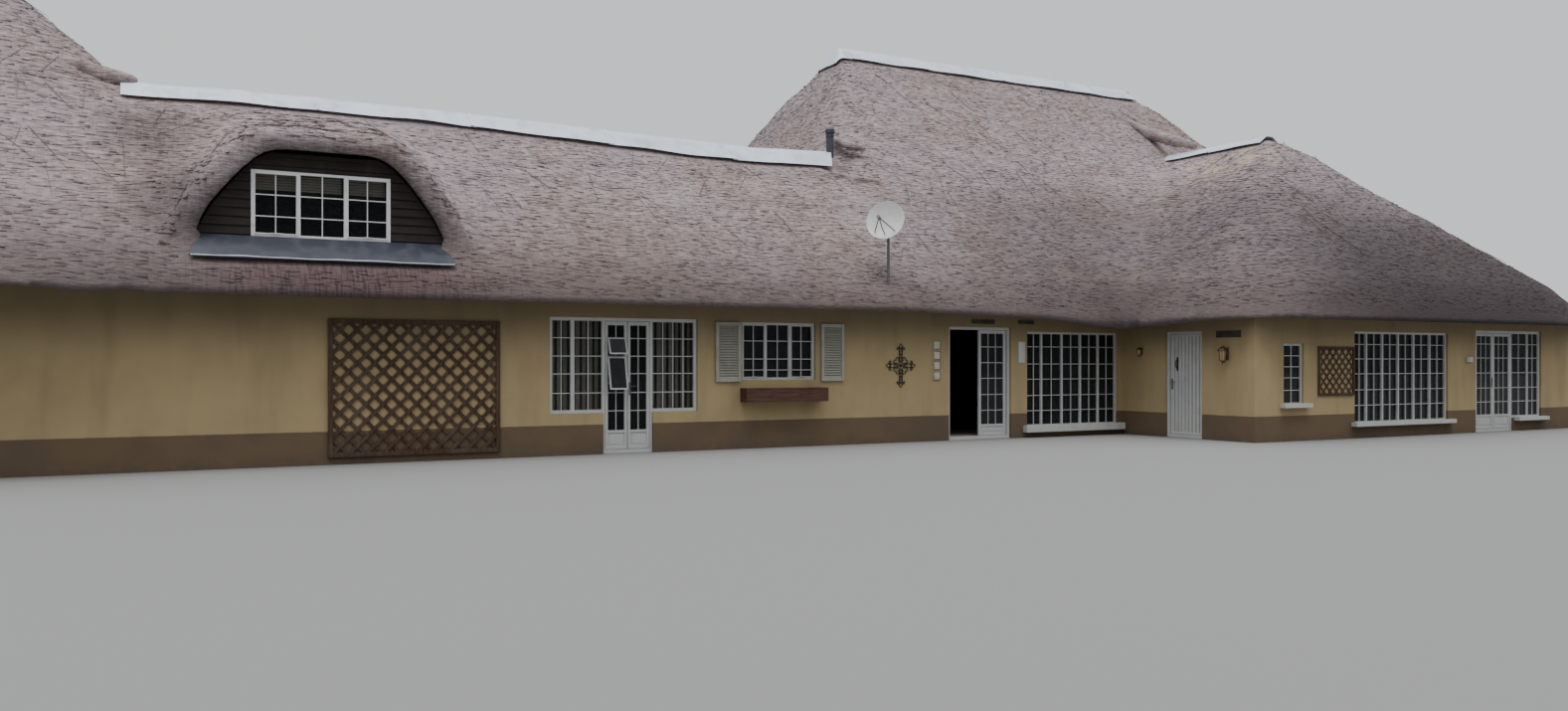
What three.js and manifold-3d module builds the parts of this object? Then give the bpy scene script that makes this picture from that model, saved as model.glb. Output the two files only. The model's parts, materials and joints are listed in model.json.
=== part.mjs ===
// A long thatched cottage: cream plastered walls, steel windows, four joined thatch roofs with
// metal ridge caps, and an eyebrow dormer. Millimetres, +Z up, the front faces -Y.
// While it is drawn, x = 0 is near the left end of the main ridge, y = 0 is the outer face of the
// main front wall and z = 0 is the ground. The whole group is centred on its footprint at the end.
import * as THREE from 'three';
import Module from 'manifold-3d';
import { mergeVertices } from 'three/addons/utils/BufferGeometryUtils.js';

const wasm = await Module();
wasm.setup();

// Driving dimensions
const WALL = 280;
const WALL_LEFT = -6800;
const WALL_RIGHT = 27400;
const WALL_TOP = 3300;
const RANGE_BACK = 5800;
const LEFT_BACK = 10500;
const LEFT_INNER = 2860;
const TALL_LEFT = 10800;
const TALL_BACK = 12000;
const WING_LEFT = 17240;
const WING_FRONT = -3140;
const FLOOR_TOP = 60;
const LOFT_FLOOR = 2450;
const GAP = 0.4;
const DOOR_GAP = 6;
const MEETING_GAP = 12;
const LEAF = 44;

// Thatch section at the eave
const EAVE_TOP = 2550;
const EAVE_MID = 2410;
const EAVE_BOTTOM = 2270;
const EAVE_TUCK = 60;
const THATCH_DEPTH = 330;
const RIDGE_HALF = 90;

// Colours
const PLASTER = { color: 0xc9ad62, roughness: 0.9, metalness: 0 };
const THATCH = { color: 0x75696a, roughness: 1, metalness: 0 };
const ZINC = { color: 0xc3ccd2, roughness: 0.35, metalness: 0.8 };
const WHITE = { color: 0xe6e6e2, roughness: 0.5, metalness: 0 };
const GLASS = { color: 0x1c2226, roughness: 0.08, metalness: 0 };
const BROWN = { color: 0x4a3428, roughness: 0.8, metalness: 0 };
const DARK_BOARD = { color: 0x2b2321, roughness: 0.85, metalness: 0 };
const SLATE_BLUE = { color: 0x3a4047, roughness: 0.6, metalness: 0.1 };
const SAGE = { color: 0x8f9a90, roughness: 0.7, metalness: 0 };
const IRON = { color: 0x17181a, roughness: 0.6, metalness: 0.6 };
const SCREED = { color: 0x7d7468, roughness: 0.9, metalness: 0 };
const GREY_METAL = { color: 0x6b6f73, roughness: 0.5, metalness: 0.6 };

const house = new THREE.Group();
house.name = 'thatched_cottage';

// Solids and meshes
function signedVolume(positions, index) {
  const a = new THREE.Vector3();
  const b = new THREE.Vector3();
  const c = new THREE.Vector3();
  let sum = 0;
  for (let i = 0; i < index.length; i += 3) {
    a.fromArray(positions, 3 * index[i]);
    b.fromArray(positions, 3 * index[i + 1]);
    c.fromArray(positions, 3 * index[i + 2]);
    sum += a.dot(b.cross(c)) / 6;
  }
  return sum;
}

// A closed geometry as a solid with its faces turned outwards
function solidOf(geometry) {
  const bare = geometry.clone();
  bare.deleteAttribute('normal');
  bare.deleteAttribute('uv');
  const merged = mergeVertices(bare, 1e-3);
  const positions = merged.attributes.position.array;
  const index = Array.from(merged.index.array);
  if (signedVolume(positions, index) < 0) {
    index.reverse();
  }
  return new wasm.Manifold(new wasm.Mesh({
    numProp: 3,
    vertProperties: new Float32Array(positions),
    triVerts: new Uint32Array(index),
  }));
}

function geometryOf(solid) {
  const mesh = solid.getMesh();
  const geometry = new THREE.BufferGeometry();
  geometry.setAttribute('position', new THREE.BufferAttribute(new Float32Array(mesh.vertProperties), 3));
  geometry.setIndex(Array.from(mesh.triVerts));
  geometry.computeVertexNormals();
  return geometry;
}

function addPiece(name, shape, look) {
  const geometry = shape.isBufferGeometry ? shape : geometryOf(shape);
  const mesh = new THREE.Mesh(geometry, new THREE.MeshStandardMaterial(look));
  mesh.name = name;
  house.add(mesh);
  return mesh;
}

function box(x0, x1, y0, y1, z0, z1) {
  const geometry = new THREE.BoxGeometry(x1 - x0, y1 - y0, z1 - z0);
  geometry.translate((x0 + x1) / 2, (y0 + y1) / 2, (z0 + z1) / 2);
  return geometry;
}

function boxSolid(x0, x1, y0, y1, z0, z1) {
  return solidOf(box(x0, x1, y0, y1, z0, z1));
}

function joined(solids) {
  return solids.reduce((whole, solid) => whole.add(solid));
}

function cutBy(solid, cutters) {
  return cutters.reduce((rest, cutter) => rest.subtract(cutter), solid);
}

// A cylinder standing on z0 at a point of the plan
function post(x, y, z0, z1, radius, sides = 12) {
  const geometry = new THREE.CylinderGeometry(radius, radius, z1 - z0, sides);
  geometry.rotateX(Math.PI / 2);
  geometry.translate(x, y, (z0 + z1) / 2);
  return solidOf(geometry);
}

// Body through a row of closed rings with equal point counts; both ends are closed by facing
// pairs of ring points counted from the index in start.
function loft(rings, start = 0) {
  const count = rings[0].length;
  const positions = rings.flat(2);
  const index = [];
  for (let k = 0; k + 1 < rings.length; k += 1) {
    for (let i = 0; i < count; i += 1) {
      const j = (i + 1) % count;
      const a = k * count + i;
      const b = k * count + j;
      const c = (k + 1) * count + j;
      const d = (k + 1) * count + i;
      index.push(a, b, c, a, c, d);
    }
  }
  const wrap = (i) => ((i % count) + count) % count;
  const last = (rings.length - 1) * count;
  for (let i = 0; i < count / 2 - 1; i += 1) {
    const a = wrap(start + i);
    const b = wrap(start + i + 1);
    const c = wrap(start - 2 - i);
    const d = wrap(start - 1 - i);
    index.push(last + a, last + b, last + c, last + a, last + c, last + d);
    index.push(a, c, b, a, d, c);
  }
  const geometry = new THREE.BufferGeometry();
  geometry.setAttribute('position', new THREE.BufferAttribute(new Float32Array(positions), 3));
  geometry.setIndex(index);
  return solidOf(geometry);
}

// Roof blocks: an eave rectangle that shrinks by a run on each side up to the ridge
const LEFT_ROOF = {
  x0: -7400, x1: 3460, y0: -850, y1: 11150, rise: 4913,
  runs: [5340, 5340, 5340, 5340], radii: [3000, 4450, 2500, 2500], arc: 5, across: 1, along: 2,
};
const MAIN_STATIONS = [-3000, 0, 1500, 3000, 4500, 6000, 7500, 9000, 10500, 12000, 12900];
const MAIN_SAG = [0, -50, 0, 0, 0, -10, -40, -70, -90, -30, 0];
const MAIN_ROOF = {
  x0: -3000, x1: 12900, y0: -600, y1: 6400, rise: 3050,
  runs: [0, 3410, 0, 3410], radii: [0, 0, 0, 0], arc: 0, stations: MAIN_STATIONS, along: 1,
};
const TALL_ROOF = {
  x0: 10200, x1: 28000, y0: -600, y1: 12600, rise: 6080,
  runs: [4100, 6510, 4700, 6510], radii: [1300, 1300, 1300, 1300], arc: 4, across: 2, along: 1,
};
const WING_ROOF = {
  x0: 16640, x1: 28000, y0: -3740, y1: 5000, rise: 3900,
  runs: [5590, 4320, 5590, 0], radii: [1500, 1500, 0, 0], arc: 5, across: 1, along: 2,
};

function sagAt(x) {
  for (let i = 0; i + 1 < MAIN_STATIONS.length; i += 1) {
    const a = MAIN_STATIONS[i];
    const b = MAIN_STATIONS[i + 1];
    if (x >= a && x <= b) {
      return MAIN_SAG[i] + (MAIN_SAG[i + 1] - MAIN_SAG[i]) * ((x - a) / (b - a));
    }
  }
  return 0;
}

function roofHeight(roof, level, x) {
  const sag = roof.stations ? sagAt(x) * Math.max(0, 2 * level - 1) : 0;
  return EAVE_TOP + roof.rise * level + sag;
}

// One ring of a roof: level 0 is the eave and 1 the ridge; grow widens it, drop lowers it and
// flat puts it at one height
function roofRing(roof, level, grow, drop, flat) {
  const [left, front, right, back] = roof.runs;
  const x0 = roof.x0 + level * left - grow;
  const x1 = roof.x1 - level * right + grow;
  const y0 = roof.y0 + level * front - grow;
  const y1 = roof.y1 - level * back + grow;
  const corners = [
    { x: x0, y: y0, sx: 1, sy: 1, from: Math.PI },
    { x: x1, y: y0, sx: -1, sy: 1, from: 1.5 * Math.PI },
    { x: x1, y: y1, sx: -1, sy: -1, from: 0 },
    { x: x0, y: y1, sx: 1, sy: -1, from: 0.5 * Math.PI },
  ];
  const arcs = corners.map((corner, k) => {
    if (roof.radii[k] === 0) {
      return [[corner.x, corner.y]];
    }
    const radius = roof.radii[k] * (1 - level) + 60 * level;
    const cx = corner.x + corner.sx * radius;
    const cy = corner.y + corner.sy * radius;
    const points = [];
    for (let i = 0; i <= roof.arc; i += 1) {
      const angle = corner.from + (i / roof.arc) * (Math.PI / 2);
      points.push([cx + radius * Math.cos(angle), cy + radius * Math.sin(angle)]);
    }
    return points;
  });
  const plan = [];
  for (let k = 0; k < 4; k += 1) {
    plan.push(...arcs[k]);
    const from = arcs[k][arcs[k].length - 1];
    const to = arcs[(k + 1) % 4][0];
    const lengthwise = k % 2 === 0;
    if (lengthwise && roof.stations) {
      const inner = roof.stations.slice(1, -1);
      const ordered = k === 0 ? inner : inner.slice().reverse();
      ordered.forEach((x) => plan.push([x, from[1]]));
    } else {
      const parts = lengthwise ? roof.across : roof.along;
      for (let i = 1; i < parts; i += 1) {
        const t = i / parts;
        plan.push([from[0] + (to[0] - from[0]) * t, from[1] + (to[1] - from[1]) * t]);
      }
    }
  }
  return plan.map(([x, y]) => [x, y, flat ?? roofHeight(roof, level, x) - drop]);
}

const LEVELS = [0.12, 0.5, 1];

// The first facing pair of ring points: the left end on a lengthwise ridge, the front else
function ringStart(roof) {
  return roof.ridgeAlongY ? roof.arc + 1 : 0;
}
LEFT_ROOF.ridgeAlongY = true;
WING_ROOF.ridgeAlongY = true;

function roofShell(roof) {
  const rings = [
    ...LEVELS.slice().reverse().map((level) => roofRing(roof, level, 0, THATCH_DEPTH)),
    roofRing(roof, 0, -EAVE_TUCK, 0, EAVE_BOTTOM),
    roofRing(roof, 0, 0, 0, EAVE_MID),
    roofRing(roof, 0, -10, 0, EAVE_TOP),
    ...LEVELS.map((level) => roofRing(roof, level, 0, 0)),
  ];
  return loft(rings, ringStart(roof));
}

// Everything below the outer surface, a little enlarged
function roofOuter(roof) {
  const rings = [
    roofRing(roof, 0, GAP, 0, -1000),
    roofRing(roof, 0, GAP, 0, EAVE_MID),
    roofRing(roof, 0, GAP - 10, 0, EAVE_TOP + GAP),
    ...LEVELS.map((level) => roofRing(roof, level, GAP, -GAP)),
  ];
  return loft(rings, ringStart(roof));
}

// Everything below the inner surface, reduced by a margin
function roofInner(roof, margin) {
  const rings = [
    roofRing(roof, 0, -EAVE_TUCK - margin, 0, -1000),
    roofRing(roof, 0, -EAVE_TUCK - margin, 0, EAVE_BOTTOM - margin),
    ...LEVELS.map((level) => roofRing(roof, level, -margin / 2, THATCH_DEPTH + margin)),
  ];
  return loft(rings, ringStart(roof));
}

const outer = {
  left: roofOuter(LEFT_ROOF),
  main: roofOuter(MAIN_ROOF),
  tall: roofOuter(TALL_ROOF),
  wing: roofOuter(WING_ROOF),
};
const inner = {
  left: roofInner(LEFT_ROOF, GAP),
  main: roofInner(MAIN_ROOF, GAP),
  tall: roofInner(TALL_ROOF, GAP),
  wing: roofInner(WING_ROOF, GAP),
};

// Eyebrow dormer: an arch that rises out of the main slope over the upper window
const DORMER_X = 2370;
const HOOD_FRONT = -210;
const HOOD_BACK = 2700;
const HOOD_RISE = 0.27;
const HOOD_THICK = 300;
const ARCH = [
  [1740, 2700], [1680, 2955], [1580, 3175], [1415, 3490], [1090, 3915], [890, 4120], [690, 4230],
];
const ARCH_FOOT = ARCH[0][1];
const ARCH_TALL = ARCH[ARCH.length - 1][1] - ARCH_FOOT;

// Half the arch's width at a height, between its first two points
function archLegAt(z) {
  const [[half0, z0], [half1, z1]] = ARCH;
  return half0 + (half1 - half0) * ((z - z0) / (z1 - z0));
}

// Arch outline at a depth, widened by a margin
function archRing(y, margin, rise, foot) {
  const lift = Math.max(0, y - HOOD_FRONT) * rise;
  const spread = 1 + margin / 1500;
  const side = ARCH.map(([half, z]) => [half * spread, z + margin * ((z - ARCH_FOOT) / ARCH_TALL) + lift]);
  const leftSide = side.map(([half, z]) => [DORMER_X - half, z]);
  const rightSide = side.slice().reverse().map(([half, z]) => [DORMER_X + half, z]);
  const foot0 = [leftSide[0][0], foot];
  const foot1 = [rightSide[rightSide.length - 1][0], foot];
  return [foot0, ...leftSide, ...rightSide, foot1].map(([x, z]) => [x, y, z]);
}

function archBody(ys, margin, rise, foot) {
  return loft(ys.map((y) => archRing(y, margin, rise, foot)), 0);
}

const hoodYs = [HOOD_FRONT, 600, 1500, HOOD_BACK];
const hoodBody = archBody(hoodYs, HOOD_THICK, HOOD_RISE, 2500);
const hoodMouth = cutBy(archBody([-900, HOOD_FRONT, 40], 0, HOOD_RISE, 2500), [
  roofOuter(MAIN_ROOF).translate([0, 0, -GAP]),
]);
const hoodRoom = archBody([-GAP, 600, 1500, HOOD_BACK - 250], 0, HOOD_RISE, 2500);
const dormerCuts = [hoodMouth, hoodRoom];

// Flue through the right end of the main ridge
const FLUE_X = 12213;
const FLUE_Y = 2900;
const FLUE_RADIUS = 75;
const flueHole = post(FLUE_X, FLUE_Y, 4300, 6600, FLUE_RADIUS + 0.5, 16);

const leftThatch = cutBy(roofShell(LEFT_ROOF), [inner.main, ...dormerCuts]);
const mainThatch = cutBy(
  roofShell(MAIN_ROOF).add(hoodBody.subtract(inner.main)),
  [...dormerCuts, outer.left, outer.tall, inner.left, inner.tall, flueHole],
);
const tallThatch = cutBy(roofShell(TALL_ROOF), [inner.main, inner.wing, flueHole]);
const wingThatch = cutBy(roofShell(WING_ROOF), [outer.tall, inner.tall]);

// The largest body of a cut solid, so that no crumb is left at an eave
function largest(solid) {
  const bodies = solid.decompose();
  return bodies.reduce((best, body) => (body.volume() > best.volume() ? body : best));
}

addPiece('left_wing_thatch', largest(leftThatch), THATCH);
addPiece('main_thatch', largest(mainThatch), THATCH);
addPiece('tall_thatch', largest(tallThatch), THATCH);
addPiece('right_wing_thatch', largest(wingThatch), THATCH);

// Metal ridge caps folded over the thatch
const CAP_HALF = 330;
const CAP_SHEET = 10;

// The sheet is drawn a little low and then trimmed to the thatch that it lies on. A mitre sets the
// edges of its last station back from the ridge line, by a share of their distance from it.
function ridgeCap(roof, stations, beds, halfAt = () => CAP_HALF, mitre = 0) {
  const run = roof.ridgeAlongY ? roof.runs[0] : roof.runs[1];
  const centre = roof.ridgeAlongY ? (roof.x0 + roof.x1) / 2 : (roof.y0 + roof.y1) / 2;
  const direction = roof.ridgeAlongY ? -1 : 1;
  const rings = stations.map((s) => {
    const half = halfAt(s);
    const offsets = [-half, -RIDGE_HALF - 5, RIDGE_HALF + 5, half];
    const low = offsets.map((d) => {
      const level = 1 - Math.max(0, Math.abs(d) - RIDGE_HALF) / run;
      return roofHeight(roof, level, s);
    });
    const back = s === stations[stations.length - 1] ? mitre : 0;
    const place = (d, z) => (roof.ridgeAlongY
      ? [centre + d * -direction, s, z]
      : [s - back * Math.abs(d), centre + d, z]);
    const top = offsets.map((d, i) => place(d * 1.02, low[i] + CAP_SHEET));
    const bottom = offsets.map((d, i) => place(d, low[i] - CAP_SHEET)).reverse();
    return [...top, ...bottom];
  });
  const ordered = roof.ridgeAlongY ? rings : rings.slice().reverse();
  return cutBy(loft(ordered, 0), beds);
}

addPiece('left_wing_ridge_cap', ridgeCap(LEFT_ROOF, [4520, 5780], [outer.left]), ZINC);
// The main cap widens from its left end towards the flue
const mainHalf = (x) => 380 + 140 * Math.min(1, Math.max(0, (x - 4000) / 5000));
const tallHalf = () => 430;
addPiece('main_ridge_cap', ridgeCap(
  MAIN_ROOF, [150, ...MAIN_STATIONS.slice(2, 9), 12280],
  [outer.main, outer.left, outer.tall, flueHole], mainHalf, 0.53,
), ZINC);
addPiece('tall_ridge_cap', ridgeCap(TALL_ROOF, [14330, 23270], [outer.tall], tallHalf), ZINC);
addPiece('right_wing_ridge_cap', ridgeCap(WING_ROOF, [620, 3500], [outer.wing, outer.tall]), ZINC);

addPiece('flue_pipe', joined([
  post(FLUE_X, FLUE_Y, 4500, 6000, FLUE_RADIUS, 16),
  post(FLUE_X, FLUE_Y, 5970, 6050, FLUE_RADIUS + 16, 16),
]), GREY_METAL);

// Walls, trimmed to the underside of the thatch
const underThatch = joined(
  [LEFT_ROOF, MAIN_ROOF, TALL_ROOF, WING_ROOF].map((roof) => roofInner(roof, 2 * GAP)),
);

function trimmed(solid) {
  return solid.intersect(underThatch);
}

// A flat sheet in the XZ plane from y0 to y1 with holes given as [x0, x1, z0, z1]
function panel(outline, holes, y0, y1) {
  const shape = new THREE.Shape(outline.map(([x, z]) => new THREE.Vector2(x, z)));
  const geometry = new THREE.ExtrudeGeometry(shape, { depth: y1 - y0, bevelEnabled: false, steps: 1 });
  geometry.rotateX(Math.PI / 2);
  geometry.translate(0, y1, 0);
  const cutters = holes.map(([x0, x1, z0, z1]) => boxSolid(x0, x1, y0 - 50, y1 + 50, z0, z1));
  return cutBy(solidOf(geometry), cutters);
}

function rectangle(x0, x1, z0, z1) {
  return [[x0, z0], [x1, z0], [x1, z1], [x0, z1]];
}

// A mirrored or axis-swapped mesh is inside out; this turns its faces back
function mirrorSafe(geometry) {
  const index = geometry.index.array;
  for (let i = 0; i < index.length; i += 3) {
    const kept = index[i];
    index[i] = index[i + 1];
    index[i + 1] = kept;
  }
  return geometry;
}

// Openings on the front as [x0, x1, z0, z1]
const PATIO = { x0: 5540, doorLeft: 6390, doorRight: 7210, x1: 7980, sill: 630, head: 2100 };
const SHUTTERED = [8770, 10170, 1120, 2070];
const FRONT_DOOR = { x0: 12970, x1: 14400, split: 13710, head: 2060 };
const BIG_WINDOW = [14790, 17090, 200, 1990];
const SMALL_WINDOW = [17990, 18530, 650, 1750];
const WIDE_WINDOW = [19960, 22840, 270, 1990];
const WING_DOOR = { x0: 23770, x1: 25090, end: 26110, sill: 260, head: 2060 };
const SIDE_DOOR = { front: -1970, back: -1100, head: 1990 };

addPiece('front_wall_left', trimmed(panel([
  [WALL_LEFT, 0], [PATIO.doorLeft - GAP, 0], [PATIO.doorLeft - GAP, PATIO.sill],
  [PATIO.x0, PATIO.sill], [PATIO.x0, WALL_TOP], [WALL_LEFT, WALL_TOP],
], [], 0, WALL)), PLASTER);
addPiece('patio_lintel', trimmed(panel(
  rectangle(PATIO.x0 + GAP, PATIO.x1 - GAP, PATIO.head, WALL_TOP), [], 0, WALL,
)), PLASTER);
addPiece('front_wall_centre', trimmed(panel([
  [PATIO.doorRight + GAP, 0], [FRONT_DOOR.x0, 0], [FRONT_DOOR.x0, WALL_TOP],
  [PATIO.x1, WALL_TOP], [PATIO.x1, PATIO.sill], [PATIO.doorRight + GAP, PATIO.sill],
], [SHUTTERED], 0, WALL)), PLASTER);
addPiece('front_door_lintel', trimmed(panel(
  rectangle(FRONT_DOOR.x0 + GAP, FRONT_DOOR.x1 - GAP, FRONT_DOOR.head, WALL_TOP), [], 0, WALL,
)), PLASTER);
addPiece('front_wall_right', trimmed(joined([
  panel(rectangle(FRONT_DOOR.x1, WING_LEFT + WALL, 0, WALL_TOP), [BIG_WINDOW], 0, WALL),
  boxSolid(WING_LEFT, WING_LEFT + WALL, SIDE_DOOR.back, WALL, 0, WALL_TOP),
])), PLASTER);
addPiece('side_door_lintel', trimmed(boxSolid(
  WING_LEFT, WING_LEFT + WALL, SIDE_DOOR.front + GAP, SIDE_DOOR.back - GAP, SIDE_DOOR.head, WALL_TOP,
)), PLASTER);
addPiece('wing_front_wall', trimmed(joined([
  panel(
    rectangle(WING_LEFT, WING_DOOR.x0, 0, WALL_TOP),
    [SMALL_WINDOW, WIDE_WINDOW], WING_FRONT, WING_FRONT + WALL,
  ),
  boxSolid(WING_LEFT, WING_LEFT + WALL, WING_FRONT, SIDE_DOOR.front, 0, WALL_TOP),
])), PLASTER);
addPiece('wing_door_lintel', trimmed(panel(
  rectangle(WING_DOOR.x0 + GAP, WING_DOOR.end - GAP, WING_DOOR.head, WALL_TOP),
  [], WING_FRONT, WING_FRONT + WALL,
)), PLASTER);
addPiece('wing_front_wall_end', trimmed(panel([
  [WING_DOOR.x1 + GAP, 0], [WALL_RIGHT - WALL - GAP, 0], [WALL_RIGHT - WALL - GAP, WALL_TOP],
  [WING_DOOR.end, WALL_TOP], [WING_DOOR.end, WING_DOOR.sill], [WING_DOOR.x1 + GAP, WING_DOOR.sill],
], [], WING_FRONT, WING_FRONT + WALL)), PLASTER);

// Rear and end walls with plain windows like the front ones
const REAR_WINDOW = [18900, 20900, 900, 2000];
const RANGE_WINDOW = [5800, 7200, 1000, 2050];
addPiece('rear_walls_right', trimmed(joined([
  boxSolid(WALL_RIGHT - WALL, WALL_RIGHT, WING_FRONT, TALL_BACK, 0, WALL_TOP),
  panel(rectangle(TALL_LEFT, WALL_RIGHT, 0, WALL_TOP), [REAR_WINDOW], TALL_BACK - WALL, TALL_BACK),
  boxSolid(TALL_LEFT, TALL_LEFT + WALL, RANGE_BACK - WALL, TALL_BACK, 0, WALL_TOP),
])), PLASTER);
addPiece('rear_walls_left', trimmed(joined([
  boxSolid(WALL_LEFT, WALL_LEFT + WALL, WALL + GAP, LEFT_BACK, 0, WALL_TOP),
  boxSolid(WALL_LEFT, LEFT_INNER, LEFT_BACK - WALL, LEFT_BACK, 0, WALL_TOP),
  boxSolid(LEFT_INNER - WALL, LEFT_INNER, RANGE_BACK - WALL, LEFT_BACK, 0, WALL_TOP),
  panel(rectangle(LEFT_INNER - WALL, TALL_LEFT - GAP, 0, WALL_TOP), [RANGE_WINDOW],
    RANGE_BACK - WALL, RANGE_BACK),
])), PLASTER);

// Floors
function slab(outline, z0, z1) {
  const shape = new THREE.Shape(outline.map(([x, y]) => new THREE.Vector2(x, y)));
  const geometry = new THREE.ExtrudeGeometry(shape, { depth: z1 - z0, bevelEnabled: false, steps: 1 });
  geometry.translate(0, 0, z0);
  return solidOf(geometry);
}

const IN = WALL + GAP;
addPiece('ground_floor', slab([
  [WALL_LEFT + IN, IN], [WING_LEFT + IN, IN], [WING_LEFT + IN, WING_FRONT + IN],
  [WALL_RIGHT - IN, WING_FRONT + IN], [WALL_RIGHT - IN, TALL_BACK - IN],
  [TALL_LEFT + IN, TALL_BACK - IN], [TALL_LEFT + IN, RANGE_BACK - IN],
  [LEFT_INNER - IN, RANGE_BACK - IN], [LEFT_INNER - IN, LEFT_BACK - IN],
  [WALL_LEFT + IN, LEFT_BACK - IN],
], 0, FLOOR_TOP), SCREED);
addPiece('loft_floor', boxSolid(-900, 5200, IN, RANGE_BACK - IN, LOFT_FLOOR, LOFT_FLOOR + 110), BROWN);

// Dormer front
const DORMER_WINDOW = [1430, 3230, 3090, 3990];
const BOARDS_FOOT = 2830;
const boardSide = archRing(0, -1, 0, BOARDS_FOOT).filter(([, , z]) => z > BOARDS_FOOT + 10);
const feetX = archLegAt(BOARDS_FOOT) - 2;
addPiece('dormer_boards', panel(
  [
    [DORMER_X - feetX, BOARDS_FOOT], [DORMER_X + feetX, BOARDS_FOOT],
    ...boardSide.map(([x, , z]) => [x, z]).reverse(),
  ],
  [DORMER_WINDOW], 0, 70,
), DARK_BOARD);

// A steel window: outer frame, upright bars between its lights and a sheet of glass behind it
function frameOf([x0, x1, z0, z1], mullions, rim, y0, y1, extras = []) {
  const edges = [x0 + GAP + rim, ...mullions.flatMap((m) => [m - rim / 2, m + rim / 2]), x1 - GAP - rim];
  const holes = [];
  for (let i = 0; i < edges.length; i += 2) {
    holes.push([edges[i], edges[i + 1], z0 + GAP + rim, z1 - GAP - rim]);
  }
  const frame = panel(rectangle(x0 + GAP, x1 - GAP, z0 + GAP, z1 - GAP), holes, y0, y1);
  return joined([frame, ...extras]);
}

function glassOf([x0, x1, z0, z1], y0) {
  return box(x0 + 12, x1 - 12, y0, y0 + 6, z0 + 12, z1 - 12);
}

const SET_IN = 40;
const FRAME_BACK = 90;
const RIM = 45;

addPiece('dormer_window_frame', frameOf(DORMER_WINDOW, [2030, 2630], RIM, -10, 50), WHITE);
addPiece('dormer_window_glass', glassOf(DORMER_WINDOW, 50 + GAP), GLASS);

// Apron board lying on the thatch below the dormer window, between the legs of the arch
const apronSlope = MAIN_ROOF.rise / MAIN_ROOF.runs[1];
const apronFoot = -350;
const apronTop = -15;
const thatchAt = (y) => EAVE_TOP + (y - MAIN_ROOF.y0) * apronSlope;
const apronRing = (side) => {
  const z0 = thatchAt(apronFoot);
  const z1 = thatchAt(apronTop);
  const footX = DORMER_X + side * 1690;
  const topX = DORMER_X + side * 1605;
  return [
    [footX, apronFoot, z0 - 8], [topX, apronTop, z1 - 8],
    [topX, apronTop, z1 + 25], [footX, apronFoot, z0 + 25],
  ];
};
addPiece('dormer_apron', cutBy(
  loft([apronRing(1), apronRing(-1)], 0), [outer.main, outer.left],
), SLATE_BLUE);

// Patio screen: two side lights and a doorway in one frame
const patioFrame = joined([
  panel([
    [PATIO.x0 + GAP, PATIO.sill + GAP], [PATIO.doorLeft, PATIO.sill + GAP], [PATIO.doorLeft, 0],
    [PATIO.doorRight, 0], [PATIO.doorRight, PATIO.sill + GAP], [PATIO.x1 - GAP, PATIO.sill + GAP],
    [PATIO.x1 - GAP, PATIO.head - GAP], [PATIO.x0 + GAP, PATIO.head - GAP],
  ], [
    [PATIO.x0 + 50, PATIO.doorLeft - 10, PATIO.sill + 50, PATIO.head - 50],
    [PATIO.doorLeft + 40, PATIO.doorRight - 40, FLOOR_TOP, PATIO.head - 50],
    [PATIO.doorRight + 10, PATIO.x1 - 50, PATIO.sill + 50, PATIO.head - 50],
  ], SET_IN, FRAME_BACK),
  boxSolid(PATIO.x0 + 30, PATIO.doorLeft, 70, 76, PATIO.sill + 30, PATIO.head - 30),
  boxSolid(PATIO.doorRight, PATIO.x1 - 30, 70, 76, PATIO.sill + 30, PATIO.head - 30),
]);
addPiece('patio_screen_frame', patioFrame, WHITE);

addPiece('shuttered_window_frame', frameOf(SHUTTERED, [9240, 9690], RIM, SET_IN, FRAME_BACK), WHITE);
addPiece('shuttered_window_glass', glassOf(SHUTTERED, FRAME_BACK + GAP), GLASS);

// Sill slab in front of the wall, wider than the window, with a tongue back to the frame
const SILL_REACH = 100;
const SILL_DEEP = 120;
const SILL_TOP = 28;

function sill([x0, x1, z0], wallY, drop) {
  return boxSolid(x0 - SILL_REACH, x1 + SILL_REACH, wallY - SILL_DEEP, wallY - GAP, z0 - drop, z0 + SILL_TOP)
    .add(boxSolid(x0 + 1, x1 - 1, wallY - 20, wallY + SET_IN + 20, z0 + 1, z0 + SILL_TOP));
}

addPiece('big_window_frame', frameOf(
  BIG_WINDOW, [15180, 15690, 16160, 16620], RIM, SET_IN, FRAME_BACK, [sill(BIG_WINDOW, 0, 100)],
), WHITE);
addPiece('big_window_glass', glassOf(BIG_WINDOW, FRAME_BACK + GAP), GLASS);

const wingY = (depth) => WING_FRONT + depth;
addPiece('small_window_frame', frameOf(
  SMALL_WINDOW, [], RIM, wingY(SET_IN), wingY(FRAME_BACK), [
    sill(SMALL_WINDOW, WING_FRONT, 50),
    boxSolid(SMALL_WINDOW[0] + 20, SMALL_WINDOW[1] - 20, wingY(70), wingY(76),
      SMALL_WINDOW[2] + 20, SMALL_WINDOW[3] - 20),
  ],
), WHITE);
addPiece('wide_window_frame', frameOf(
  WIDE_WINDOW, [20370, 20850, 21330, 21810, 22320], RIM, wingY(SET_IN), wingY(FRAME_BACK),
  [sill(WIDE_WINDOW, WING_FRONT, 50)],
), WHITE);
addPiece('wide_window_glass', glassOf(WIDE_WINDOW, wingY(FRAME_BACK + GAP)), GLASS);

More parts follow.
